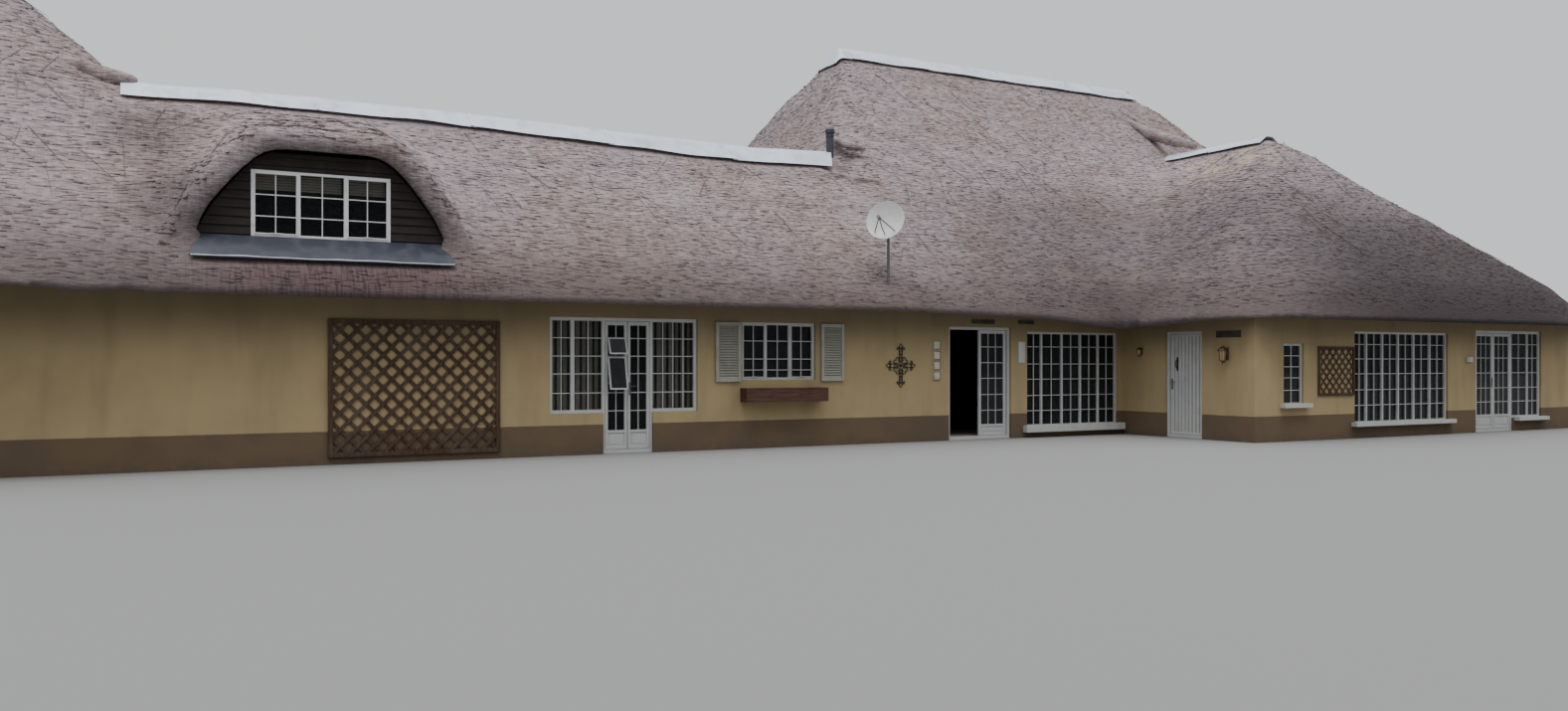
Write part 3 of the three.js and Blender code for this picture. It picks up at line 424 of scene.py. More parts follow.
@dataclass(frozen=True)
class MetalFinish(Finish):
    """Bare or galvanised metal with spangle, streaks and dull patches."""

    bright: Vec3
    dull: Vec3
    metallic: float = 0.7
    rough: float = 0.36
    spangle: float = 35.0
    stain: Vec3 = (0.14, 0.12, 0.10)

    def paint(self, g: Graph) -> None:
        """Lays flakes, dull patches and runs."""
        weather = g.clouds(1.8, 5.0, 0.35, 0.7)
        base = g.tint(self.bright, g.cells(self.spangle), 0.30, self.dull)
        base = g.tint(base, weather, 0.55, self.dull)
        base = g.tint(base, g.runs((4.0, 1.2, 4.0), 3.0, 0.45, 0.75), 0.25, self.stain)
        g.set(Base_Color=base, Metallic=self.metallic, Roughness=g.plus(g.times(weather, 0.22), self.rough))
        g.bump(g.noise(22.0, 3.0), 0.25, 0.003)


@dataclass(frozen=True)
class PaintFinish(Finish):
    """Brush paint on steel, boards or plaster, with grime in patches."""

    colour: Vec3
    worn: Vec3
    rough: float = 0.42
    wear: float = 0.35
    coat: float = 0.0

    def paint(self, g: Graph) -> None:
        """Lays worn patches, runs and specks over the colour."""
        patches = g.clouds(5.0, 5.0, 0.42, 0.72)
        runs = g.runs((22.0, 22.0, 1.6), 3.0, 0.50, 0.80)
        amount = g.plus(g.times(patches, self.wear), g.times(runs, self.wear * 0.6))
        base = g.mix(amount, self.colour, self.worn)
        base = g.tint(base, g.clouds(60.0, 3.0, 0.60, 0.75), self.wear * 0.5, self.worn)
        g.set(Base_Color=base, Roughness=g.plus(g.times(patches, 0.2), self.rough), Coat_Weight=self.coat)
        g.bump(g.noise(45.0, 4.0), 0.18, 0.002)


@dataclass(frozen=True)
class TimberFinish(Finish):
    """Stained boards with grain, darker fibres and greyed edges."""

    colour: Vec3
    fibre: Vec3
    grey: Vec3
    grain: Grain = Grain.ALONG_X

    def paint(self, g: Graph) -> None:
        """Lays the grain and the grey patches."""
        fibres = g.noise(1.0, 6.0, g.stretch(self.grain.value), 0.65)
        base = g.mix(g.fade(fibres, 0.35, 0.68), self.fibre, self.colour)
        base = g.tint(base, g.clouds(2.2, 4.0, 0.40, 0.75), 0.5, self.grey)
        g.set(Base_Color=base, Roughness=g.plus(g.times(fibres, 0.2), 0.62), Specular_IOR_Level=0.25)
        g.bump(fibres, 0.5, 0.004)


@dataclass(frozen=True)
class GlassFinish(Finish):
    """Old drawn glass, glossy and more or less see-through, and near black so that it paints the shade of the
    rooms behind it.
    """

    alpha: float = 0.85
    rough: float = 0.04
    # Near black: painted shade of the dark rooms behind the glass.
    tint: Vec3 = (0.016, 0.019, 0.022)
    film: Vec3 = (0.09, 0.085, 0.075)

    def paint(self, g: Graph) -> None:
        """Lays a thin film of dust, and slow waves."""
        base = g.tint(self.tint, g.clouds(9.0, 4.0, 0.45, 0.85), 0.25, self.film)
        g.set(Base_Color=base, Roughness=self.rough, Alpha=self.alpha, IOR=1.45, Specular_IOR_Level=0.25)
        g.bump(g.noise(2.2, 2.0), 0.12, 0.004)


@dataclass(frozen=True)
class FloorFinish(Finish):
    """Worn screed with darker walked patches."""

    pale: Vec3 = (0.30, 0.255, 0.21)
    worn: Vec3 = (0.16, 0.13, 0.105)

    def paint(self, g: Graph) -> None:
        """Lays walked patches and grit."""
        grit = g.noise(70.0, 3.0)
        base = g.mix(g.clouds(1.1, 5.0, 0.35, 0.7), self.pale, self.worn)
        g.set(Base_Color=g.tint(base, grit, 0.3, self.worn), Roughness=0.75)
        g.bump(grit, 0.3, 0.003)


COAT = ThatchFinish("thatch_coat", Slot.THATCH)
REED = ThatchFinish("thatch_reed", Slot.THATCH, strands=True, dimmed=0.30)
PLASTER = PlasterFinish("cream_plaster", Slot.PLASTER)
# Pale blue-grey: partly the galvanised metal's own colour and partly a painted reflection of the bright sky.
RIDGE = MetalFinish("galvanised_ridge", Slot.RIDGE_METAL, (0.62, 0.68, 0.77), (0.44, 0.48, 0.56), 0.25, 0.38)
# Lit and shaded copies of one white paint: the darker paints shade on the frames and doors under the eaves,
# the brighter is the lit white of the dormer.
SHADED_WHITE = PaintFinish("shaded_white_steel_paint", Slot.WHITE_STEEL, (0.51, 0.52, 0.51), (0.30, 0.28, 0.25), 0.34, 0.22)
LIT_WHITE = PaintFinish("lit_white_paint", Slot.WHITE_STEEL, (0.78, 0.79, 0.80), (0.50, 0.48, 0.44), 0.34, 0.22)
# Painted shade: a dark grey sheet behind the side door's boards that shows in the grooves between them.
GROOVE_SHADE = PaintFinish("shaded_paint", Slot.WHITE_STEEL, (0.20, 0.20, 0.19), (0.12, 0.11, 0.10), 0.6, 0.4)
BLIND = PaintFinish("cream_slats", Slot.WHITE_STEEL, (0.60, 0.57, 0.46), (0.42, 0.38, 0.29), 0.6, 0.3)
GLASS = GlassFinish("old_glass", Slot.GLASS)
CLEAR = GlassFinish("clear_glass", Slot.GLASS, alpha=0.32)
LATH = TimberFinish(
    "brown_laths", Slot.BROWN_TIMBER, (0.105, 0.060, 0.036), (0.045, 0.026, 0.018), (0.12, 0.095, 0.078),
    Grain.ALONG_Z,
)
PLANTER = TimberFinish(
    "planter_boards", Slot.BROWN_TIMBER, (0.125, 0.055, 0.040), (0.055, 0.026, 0.020), (0.10, 0.072, 0.062),
)
BOARDS = TimberFinish(
    "dark_lapped_boards", Slot.DARK_BOARDS, (0.030, 0.021, 0.019), (0.012, 0.009, 0.009),
    (0.045, 0.036, 0.036),
)
JOISTS = TimberFinish(
    "loft_boards", Slot.BROWN_TIMBER, (0.19, 0.115, 0.065), (0.09, 0.052, 0.03), (0.14, 0.11, 0.085),
)
APRON = PaintFinish("slate_blue_paint", Slot.APRON, (0.022, 0.026, 0.045), (0.055, 0.058, 0.082), 0.38, 0.5)
SAGE = PaintFinish("shutter_paint", Slot.SAGE, (0.34, 0.34, 0.29), (0.21, 0.19, 0.155), 0.5, 0.4)
IRON = PaintFinish("black_iron", Slot.IRON, (0.012, 0.012, 0.013), (0.075, 0.045, 0.032), 0.45, 0.5)
BRONZE = MetalFinish("bronzed_lantern", Slot.IRON, (0.16, 0.10, 0.06), (0.06, 0.04, 0.03), 0.6, 0.42)
AMBER = PaintFinish("lantern_glass", Slot.IRON, (0.42, 0.27, 0.14), (0.22, 0.14, 0.08), 0.12, 0.3, 0.6)
GREY = MetalFinish("dull_grey_metal", Slot.GREY_METAL, (0.20, 0.21, 0.22), (0.09, 0.09, 0.095), 0.5, 0.45)
SLATE = MetalFinish(
    "sooty_flue_metal", Slot.GREY_METAL, (0.085, 0.095, 0.115), (0.040, 0.042, 0.050), 0.4, 0.42,
)
DISH = PaintFinish("pale_dish_coating", Slot.GREY_METAL, (0.66, 0.67, 0.66), (0.36, 0.35, 0.31), 0.40, 0.3)
PLAQUE = PaintFinish("glazed_plaque", Slot.PLASTER, (0.55, 0.52, 0.42), (0.34, 0.29, 0.21), 0.25, 0.5, 0.3)
VENT = PaintFinish("vent_plate", Slot.IRON, (0.085, 0.075, 0.060), (0.035, 0.030, 0.026), 0.6, 0.5)
FLOOR = FloorFinish("worn_screed", Slot.SCREED)


# Modelling at the bench


def deselect() -> None:
    """Leaves object mode with nothing selected."""
    if bpy.context.object and bpy.context.object.mode != "OBJECT":
        switch("OBJECT")
    bpy.ops.object.select_all(action="DESELECT")


def switch(mode: str) -> None:
    """Changes the mode of the active piece."""
    bpy.ops.object.mode_set(mode=mode)


def pick(piece: Thing) -> None:
    """Selects one piece alone and makes it active."""
    deselect()
    piece.select_set(True)
    bpy.context.view_layer.objects.active = piece


def modify(piece: Thing, kind: str, **settings: Any) -> None:
    """Adds a modifier to a piece and applies it.

    Args:
        piece: the piece to change.
        kind: Blender's name for the kind of modifier.
        settings: its settings by name.
    """
    modifier = piece.modifiers.new(kind, kind)
    for name, value in settings.items():
        setattr(modifier, name, value)
    pick(piece)
    bpy.ops.object.modifier_apply(modifier=modifier.name)


def edit_where(piece: Thing, test: Callable[[Vector], bool]) -> None:
    """Enters edit mode on a piece with some of its vertices selected.

    Args:
        piece: the piece to edit.
        test: says for a place whether its vertex is selected.
    """
    pick(piece)
    switch("EDIT")
    bpy.ops.mesh.select_mode(type="VERT")
    bpy.ops.mesh.select_all(action="DESELECT")
    switch("OBJECT")
    for vertex in piece.data.vertices:
        vertex.select = test(vertex.co)
    switch("EDIT")


def tidy_normals(piece: Thing) -> None:
    """Merges doubles and turns all faces outwards."""
    pick(piece)
    switch("EDIT")
    bpy.ops.mesh.select_all(action="SELECT")
    bpy.ops.mesh.remove_doubles(threshold=0.00005)
    bpy.ops.mesh.normals_make_consistent(inside=False)
    switch("OBJECT")


def smooth(piece: Thing, degrees: float = 35.0) -> Thing:
    """Shades a piece smooth across edges flatter than an angle."""
    pick(piece)
    bpy.ops.object.shade_smooth_by_angle(angle=math.radians(degrees))
    return piece


def join(name: str, pieces: Sequence[Thing]) -> Thing:
    """Joins pieces into the first one and names it.

    Args:
        name: name of the whole.
        pieces: the pieces; the first one stays.

    Returns:
        The first piece, with the others in it.
    """
    deselect()
    for piece in pieces:
        piece.select_set(True)
    bpy.context.view_layer.objects.active = pieces[0]
    if len(pieces) > 1:
        bpy.ops.object.join()
    pieces[0].name = name
    pieces[0].data.name = name
    return pieces[0]


def clone(piece: Thing, name: str) -> Thing:
    """A loose copy of a piece with its own merged mesh.

    Args:
        piece: the piece to copy.
        name: name of the copy.

    Returns:
        The copy, without materials and marks.
    """
    copy = piece.copy()
    copy.data = piece.data.copy()
    copy.parent = None
    copy.name = name
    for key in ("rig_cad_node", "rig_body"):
        if key in copy:
            del copy[key]
    bpy.context.scene.collection.objects.link(copy)
    copy.hide_set(False)
    copy.hide_viewport = False
    copy.data.materials.clear()
    edit_where(copy, lambda point: True)
    bpy.ops.mesh.remove_doubles(threshold=0.0001)
    switch("OBJECT")
    return copy


def discard(*pieces: Thing) -> None:
    """Removes helper objects."""
    for piece in pieces:
        bpy.data.objects.remove(piece, do_unlink=True)


@dataclass(frozen=True)
class Block:
    """A bar, board or slat: its centre, its full size and its turn in radians."""

    centre: Vec3
    size: Vec3
    turn: Vec3 = (0.0, 0.0, 0.0)


def span(x0: float, x1: float, y0: float, y1: float, z0: float, z1: float) -> Block:
    """An unturned block between two corners."""
    centre = ((x0 + x1) / 2, (y0 + y1) / 2, (z0 + z1) / 2)
    return Block(centre, (x1 - x0, y1 - y0, z1 - z0))


def model_blocks(name: str, blocks: Sequence[Block], bevel: float = 0.002, segments: int = 1) -> Thing:
    """Models blocks as one mesh with softened edges.

    Args:
        name: name of the new piece.
        blocks: the blocks.
        bevel: width of the softened edges.
        segments: steps of the bevel.

    Returns:
        The new piece.
    """
    deselect()
    for block in blocks:
        bpy.ops.mesh.primitive_cube_add(
            size=1.0, location=block.centre, rotation=block.turn, scale=block.size,
        )
        if block is blocks[0]:
            piece = bpy.context.object
            bpy.ops.object.transform_apply()
            switch("EDIT")
    switch("OBJECT")
    modify(piece, "BEVEL", width=bevel, segments=segments, limit_method="ANGLE")
    return smooth(join(name, [piece]))


def model_sweep(name: str, paths: Sequence[Sequence[Vec3]], radii: Sequence[float], sides: int = 2) -> Thing:
    """Sweeps a round bar along paths.

    Args:
        name: name of the new piece.
        paths: the points of each path.
        radii: the bar's radius at the start, at the end and evenly between.
        sides: bevel resolution of the round section.

    Returns:
        The new piece as a closed mesh.
    """
    curve = bpy.data.curves.new(name, "CURVE")
    curve.dimensions = "3D"
    curve.bevel_depth = 1.0
    curve.bevel_resolution = sides
    curve.use_fill_caps = True
    for path in paths:
        spline = curve.splines.new("POLY")
        spline.points.add(len(path) - 1)
        for index, (point, place) in enumerate(zip(spline.points, path)):
            step = index / max(1, len(path) - 1) * (len(radii) - 1)
            low = min(int(step), len(radii) - 1)
            high = min(low + 1, len(radii) - 1)
            point.co = (*place, 1.0)
            point.radius = radii[low] + (radii[high] - radii[low]) * (step - low)
    piece = bpy.data.objects.new(name, curve)
    bpy.context.scene.collection.objects.link(piece)
    pick(piece)
    bpy.ops.object.convert(target="MESH")
    piece = bpy.context.object
    tidy_normals(piece)
    return smooth(piece)


def model_turned(name: str, profile: Sequence[tuple[float, float]], sides: int = 32) -> Thing:
    """Turns a profile round the Z axis, as on a lathe.

    Args:
        name: name of the new piece.
        profile: radius and height of each step, from the bottom up.
        sides: sides of the turned body.

    Returns:
        The new piece, closed at both ends.
    """
    deselect()
    radius, height = profile[0]
    bpy.ops.mesh.primitive_circle_add(
        vertices=sides, radius=radius, fill_type="NGON", location=(0, 0, height),
    )
    piece = bpy.context.object
    bpy.ops.object.transform_apply()
    switch("EDIT")
    bpy.ops.mesh.select_mode(type="FACE")
    bpy.ops.mesh.select_all(action="SELECT")
    for (r0, z0), (r1, z1) in zip(profile, profile[1:]):
        bpy.ops.mesh.extrude_region_move(TRANSFORM_OT_translate={"value": (0, 0, z1 - z0)})
        bpy.ops.transform.resize(value=(r1 / r0, r1 / r0, 1.0), center_override=(0, 0, z1))
    switch("OBJECT")
    tidy_normals(piece)
    return join(name, [smooth(piece)])


def move(piece: Thing, matrix: Matrix) -> Thing:
    """Puts a piece in place in its own mesh."""
    piece.data.transform(matrix)
    piece.data.update()
    return piece


def placed(x: float, y: float, z: float = 0.0, turn: float = 0.0) -> Matrix:
    """A place in the row frame: a point and a turn about the vertical, in degrees."""
    return Matrix.Translation((x, y, z)) @ Matrix.Rotation(math.radians(turn), 4, "Z")


def fix(
    piece: Thing, finish: Finish, stands_for: Sequence[str] = (), body: str = HOUSE,
) -> Thing:
    """Dresses a piece, lets it ride on a body and hides the solids that it stands for.

    Args:
        piece: the finished piece.
        finish: its finish.
        stands_for: nodes that it replaces.
        body: the body that it moves with.

    Returns:
        The same piece.
    """
    if not piece.data.materials:
        piece.data.materials.append(finish.material())
    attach(piece, body)
    if stands_for:
        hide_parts(*stands_for)
    LOG.info("%s: %d faces on %s", piece.name, len(piece.data.polygons), body)
    return piece


def dress(name: str, finish: Finish) -> None:
    """Gives a solid that stays its finish."""
    solid = solid_of(name)
    solid.data.materials.clear()
    solid.data.materials.append(finish.material())


def mount(
    name: str, blocks: Sequence[Block], place: Matrix, finish: Finish, stands_for: Sequence[str] = (),
    bevel: float = 0.0025, segments: int = 1,
) -> Thing:
    """Models blocks as one piece of the house, in its place.

    Args:
        name: name of the new piece.
        blocks: the blocks, drawn flat.
        place: where they go.
        finish: the finish of the piece.
        stands_for: nodes that it replaces.
        bevel: width of the softened edges.
        segments: steps of the bevel.

    Returns:
        The new piece.
    """
    return fix(move(model_blocks(name, blocks, bevel, segments), place), finish, stands_for)


# Steel joinery. Each frame is drawn flat, seen from outside: x runs from its left edge, y from its
# outer face inwards, and z is the height above the ground.


def member(x0: float, x1: float, z0: float, z1: float, depth: float = FRAME_DEPTH) -> Block:
    """A bar of a frame, through its whole depth."""
    return span(x0, x1, 0, depth, z0, z1)


def pane(x0: float, x1: float, z0: float, z1: float) -> Block:
    """A sheet of glass in a frame."""
    return span(x0, x1, 0.030, 0.036, z0, z1)


def ring(x0: float, x1: float, z0: float, z1: float, width: float, y0: float, y1: float) -> list[Block]:
    """Four members round a rectangle, with their outer edges on it."""
    return [
        span(x0, x0 + width, y0, y1, z0, z1),
        span(x1 - width, x1, y0, y1, z0, z1),
        span(x0 + width, x1 - width, y0, y1, z0, z0 + width),
        span(x0 + width, x1 - width, y0, y1, z1 - width, z1),
    ]


def sill_blocks(slab: tuple[float, float, float, float], tongue: tuple[float, float, float]) -> list[Block]:
    """A sill slab in front of the wall, and the tongue that joins it to a frame 40 mm behind the face.

    Args:
        slab: left, right, foot and top of the slab.
        tongue: left and right of the tongue, and the height that it stands on.

    Returns:
        The two blocks.
    """
    x0, x1, z0, z1 = slab
    left, right, base = tongue
    return [
        span(x0, x1, -0.16, -0.0404, z0, z1),
        span(left, right, -0.06, 0.018, base + 0.001, base + 0.027),
    ]


@dataclass(frozen=True)
class Light:
    """One glazed rectangle, its glazing bars and how it is set."""

    x0: float
    x1: float
    z0: float
    z1: float
    columns: int = 2
    levels: Sequence[float] = ()
    opener: bool = False
    bar: float = 0.014
    bead: float = 0.004
    sash: float = 0.018

    def blocks(self) -> list[Block]:
        """Glazing bars, beads and the opening sash with its stay and hinges."""
        edge = self.sash if self.opener else self.bead
        front = -0.012 if self.opener else 0.010
        half = self.bar / 2
        blocks = ring(self.x0, self.x1, self.z0, self.z1, edge, front, 0.036)
        left, right = self.x0 + edge, self.x1 - edge
        low, high = self.z0 + edge, self.z1 - edge
        for column in range(1, self.columns):
            x = left + (right - left) * column / self.columns
            blocks.append(span(x - half, x + half, 0.012, 0.034, low, high))
        for level in self.levels:
            if low < level < high:
                blocks.append(span(left, right, 0.010, 0.032, level - half, level + half))
        if self.opener:
            x, z = (self.x0 + self.x1) / 2, self.z0
            blocks.append(span(x - 0.06, x + 0.06, -0.024, -0.012, z + 0.008, z + 0.020))
            for z in (self.z0 + 0.15, self.z1 - 0.15):
                blocks.append(span(self.x0 - 0.012, self.x0 + 0.012, -0.020, -0.006, z - 0.035, z + 0.035))
        return blocks


@dataclass
class SteelWindow:
    """A steel window with several lights.

    Mullions are measured from the left edge, levels are heights of the horizontal bars.
    """

    node: str
    mullions: Sequence[float]
    levels: Sequence[float]
    openers: Sequence[int] = ()
    sill: float = 0.0
    reach: float = 0.0
    own_glass: bool = False
    rear: bool = False
    finish: Finish = SHADED_WHITE
    rim: float = 0.036
    depth: float = FRAME_DEPTH

    def build(self) -> None:
        """Models the frame and, where the solid holds it, the glass."""
        low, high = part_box(self.node)
        width, top, rim = high.x - low.x - 2 * self.reach, high.z, self.rim
        bottom = low.z + (self.sill - 0.0006 if self.sill else 0.0)
        foot, head = bottom + rim, top - rim
        blocks = ring(0, width, bottom, top, rim, 0, self.depth)
        blocks += [member(m - rim / 2, m + rim / 2, foot, head, self.depth) for m in self.mullions]
        starts = [rim, *(m + rim / 2 for m in self.mullions)]
        ends = [*(m - rim / 2 for m in self.mullions), width - rim]
        for index, (left, right) in enumerate(zip(starts, ends)):
            blocks += Light(left, right, foot, head, 2, self.levels, index in self.openers).blocks()
        if self.sill:
            slab = (-self.reach, width + self.reach, low.z, low.z + self.sill + 0.028)
            blocks += sill_blocks(slab, (0.001, width - 0.001, bottom))
        place = placed(low.x + self.reach, high.y - self.depth)
        if self.rear:
            place = placed(high.x, high.y, turn=180.0)
        mount(self.node + "_steel", blocks, place, self.finish, [self.node])
        if self.own_glass:
            sheet = pane(0.03, width - 0.03, bottom + 0.03, top - 0.03)
            mount(self.node + "_pane", [sheet], place, GLASS, bevel=0.001)


@dataclass
class PatioScreen:
    """The steel screen with two side lights round the patio doors."""

    node: str = "patio_screen_frame"
    door_left: float = 0.84
    door_right: float = 1.63
    rim: float = 0.05
    sill: float = 0.63
    threshold: float = 0.06
    mullion: float = 0.37
    levels: Sequence[float] = PATIO_LEVELS
    slat: float = 0.089
    pitch: float = 0.098

    def build(self) -> None:
        """Models frame, bars, glass and the upright blind slats behind the side lights."""
        low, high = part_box(self.node)
        width, top, rim = high.x - low.x, high.z, self.rim
        left, right, bottom = self.door_left, self.door_right, self.sill + FIT
        foot, head = bottom + rim, top - rim
        blocks = [
            member(0, rim, bottom, top),
            member(width - rim, width, bottom, top),
            member(rim, width - rim, head, top),
            member(left, left + rim, 0, head),
            member(right, right + rim, 0, head),
            member(rim, left, bottom, foot),
            member(right + rim, width - rim, bottom, foot),
            member(left + rim, right, 0, self.threshold),
            member(self.mullion - 0.03, self.mullion + 0.03, foot, head),
        ]
        for x0, x1, columns in (
            (rim, self.mullion - 0.03, 2), (self.mullion + 0.03, left, 2), (right + rim, width - rim, 4),
        ):
            blocks += Light(x0, x1, foot, head, columns, self.levels).blocks()
        place = placed(low.x, low.y)
        mount("patio_screen_steel", blocks, place, SHADED_WHITE, [self.node])
        panes = [
            pane(0.03, left + 0.01, bottom + 0.03, top - 0.03),
            pane(right + rim - 0.01, width - 0.03, bottom + 0.03, top - 0.03),
        ]
        mount("patio_screen_panes", panes, place, CLEAR, bevel=0.001)
        slats = []
        for start, end in ((0.04, left), (right + rim, width - 0.04)):
            slats += self.blind(start, end, bottom, top)
        mount("patio_blind_slats", slats, place, BLIND, bevel=0.0008)

    def blind(self, start: float, end: float, bottom: float, top: float) -> list[Block]:
        """Upright slats, each turned a little, that hang from a rail behind a side light."""
        slats = []
        count = int((end - start) / self.pitch)
        for index in range(count):
            turn = math.radians(28.0 + 9.0 * math.sin(3.1 * index + start))
            centre = (start + (index + 0.5) * (end - start) / count, 0.115, (bottom + top) / 2)
            slats.append(Block(centre, (self.slat, 0.002, top - bottom - 0.10), (0, 0, turn)))
        return [*slats, span(start, end, 0.10, 0.13, top - 0.05, top - 0.02)]


@dataclass
class WingDoorFrame:
    """The steel frame round the wing's glazed doors, with its side light and sill."""

    node: str = "wing_door_frame"
    post: float = 1.275
    right: float = 2.3392
    rim: float = 0.05
    mullion: float = 1.895
    sill: float = 0.26
    sill_left: float = 1.340
    threshold: float = 0.06
    levels: Sequence[float] = WING_LEVELS

    def build(self) -> None:
        """Models frame, side light, glass and sill."""
        low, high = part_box(self.node)
        top, rim, post, right = high.z, self.rim, self.post, self.right
        bottom = self.sill + FIT
        foot, head, inner, outer = bottom + rim, top - rim, post + rim, right - rim
        blocks = [
            member(0, rim, 0, top),
            member(post, inner, 0, top),
            member(outer, right, bottom, top),
            member(rim, post, head, top),
            member(inner, outer, head, top),
            member(rim, post, 0, self.threshold),
            member(inner, outer, bottom, foot),
            member(self.mullion - 0.02, self.mullion + 0.02, foot, head),
        ]
        slab = (self.sill_left, right + 0.1, self.sill - 0.05, self.sill + 0.028)
        blocks += sill_blocks(slab, (self.sill_left, right - 0.001, self.sill))
        for x0, x1 in ((inner, self.mullion - 0.02), (self.mullion + 0.02, outer)):
            blocks += Light(x0, x1, foot, head, 2, self.levels).blocks()
        place = placed(low.x, high.y - FRAME_DEPTH)
        mount("wing_door_steel", blocks, place, SHADED_WHITE, [self.node])
        sheet = pane(post + 0.03, right - 0.03, bottom + 0.03, top - 0.03)
        mount("wing_side_light_pane", [sheet], place, GLASS, bevel=0.001)


class Hung(Enum):
    """How a leaf stands at rest, seen from outside."""

    LEFT = "pin at its left edge"
    RIGHT = "pin at its right edge"
    OPEN_LEFT = "pin at its left edge, turned a quarter open"
    SIDEWAYS = "pin at its right edge, in a wall that faces -X"


@dataclass
class Leaf:
    """A door leaf drawn flat like the frames, from its own lower left corner."""

    node: str
    body: str
    hung: Hung
    inward: bool = False
    lever_height: float = 0.934

    def __post_init__(self) -> None:
        """Reads the leaf's size and place from its solid."""
        low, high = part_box(self.node)
        self.height = high.z - low.z - 2 * PIN_REACH
        self.base = low.z + PIN_REACH
        along = high.y - low.y if self.hung in (Hung.OPEN_LEFT, Hung.SIDEWAYS) else high.x - low.x
        self.width = along - PIN_RADIUS
        outer = low.y if self.inward else high.y - LEAF_THICK
        self.place = placed(*{
            Hung.LEFT: (low.x + PIN_RADIUS, outer, self.base),
            Hung.RIGHT: (low.x, outer, self.base),
            Hung.OPEN_LEFT: (high.x, low.y + PIN_RADIUS, self.base, 90.0),
            Hung.SIDEWAYS: (low.x, high.y, self.base, -90.0),
        }[self.hung])
        self.pin_at_left = self.hung in (Hung.LEFT, Hung.OPEN_LEFT)

    def hang(self, piece: Thing, finish: Finish, main: bool = False) -> None:
        """Puts a piece of the leaf in place and lets it ride on the leaf's body."""
        fix(move(piece, self.place), finish, [self.node] if main else [], self.body)

    def hinges(self) -> list[Block]:
        """Three knuckles on the pin's edge, kept inside the leaf's thickness."""
        x = 0.006 if self.pin_at_left else self.width - 0.006
        y = LEAF_THICK - 0.005 if self.inward else 0.004
        heights = (0.18, self.height / 2 - 0.045, self.height - 0.27)
        return [span(x - 0.005, x + 0.005, y - 0.006, y + 0.004, z, z + 0.09) for z in heights]

    def handle(self) -> None:
        """A lever on a plate, on both faces of the free edge."""
        x = self.width - 0.030 if self.pin_at_left else 0.030
        inwards = -1.0 if self.pin_at_left else 1.0
        z = self.lever_height
        plates, levers = [], []
        for y, out in ((0.0, -1.0), (LEAF_THICK, 1.0)):
            y0, y1 = sorted((y - out * 0.001, y + out * 0.005))
            plates.append(span(x - 0.017, x + 0.017, y0, y1, z - 0.10, z + 0.10))
            levers.append([
                (x, y, z + 0.04),
                (x, y + out * 0.030, z + 0.04),
                (x + inwards * 0.012, y + out * 0.040, z + 0.04),
                (x + inwards * 0.10, y + out * 0.042, z + 0.036),
            ])
        plate = model_blocks(self.node + "_plates", plates, 0.0015)
        lever = model_sweep(self.node + "_levers", levers, (0.008, 0.007, 0.006))
        self.hang(join(self.node + "_handle", [plate, lever]), GREY)


@dataclass
class GlazedDoor(Leaf):
    """A steel leaf with panes over a pressed panel."""

    columns: int = 2
    levels: Sequence[float] = ()
    panel: float = 0.28
    stile: float = 0.058
    top_rail: float = 0.055
    foot_rail: float = 0.045
    vents: bool = False
    lever: bool = True
    glass: Finish = GLASS

    def build(self) -> None:
        """Models frame, bars, panel, glass, hinges and handle."""
        w, h, t = self.width, self.height, LEAF_THICK
        left, right, head, rail = self.stile, w - self.stile, h - self.top_rail, self.panel - 0.035
        blocks = [
            member(0, left, 0, h, t),
            member(right, w, 0, h, t),
            member(left, right, head, h, t),
            member(left, right, 0, self.foot_rail, t),
            member(left, right, rail, self.panel, t),
            span(left, right, 0.014, 0.030, self.foot_rail, rail),
            span(left + 0.03, right - 0.03, 0.008, 0.036, self.foot_rail + 0.03, rail - 0.03),
        ]
        levels = [level - self.base for level in self.levels]
        blocks += Light(left, right, self.panel, head, self.columns, levels).blocks()
        blocks += self.hinges()
        self.hang(model_blocks(self.node + "_steel", blocks, 0.002), SHADED_WHITE, main=True)
        sheet = span(left - 0.01, right + 0.01, 0.022, 0.027, self.panel - 0.01, head - 0.005)
        self.hang(model_blocks(self.node + "_pane", [sheet], 0.0008), self.glass)
        if self.vents:
            self.hopper_vents()
        if self.lever:
            self.handle()

    def hopper_vents(self) -> None:
        """Two small sashes hung at their tops and propped open outwards."""
        frames, panes, stays = [], [], []
        x0, x1 = self.stile - 0.012, self.width - self.stile + 0.012
        for top, tall, tilt in ((1.790, 0.275, 21.0), (1.495, 0.520, 13.0)):
            turn = Matrix.Rotation(math.radians(-tilt), 4, "X")
            pivot = Matrix.Translation((0, -0.008, top - self.base)) @ turn
            sash = model_blocks("vent_sash", ring(x0, x1, -tall, 0, 0.024, -0.016, 0.0), 0.0015)
            sheet = span(x0 + 0.02, x1 - 0.02, -0.010, -0.006, 0.02 - tall, -0.02)
            frames.append(move(sash, pivot))
            panes.append(move(model_blocks("vent_pane", [sheet], 0.0005), pivot))
            foot = pivot @ Vector((0, 0, -tall * 0.82))
            for x in (x0 + 0.004, x1 - 0.004):
                stays.append([(x, 0.004, foot.z + 0.03), (x, foot.y, foot.z)])
        arms = model_sweep("vent_stays", stays, (0.004, 0.004))
        self.hang(join(self.node + "_hopper_vents", [*frames, arms]), SHADED_WHITE)
        self.hang(join(self.node + "_vent_panes", panes), GLASS)


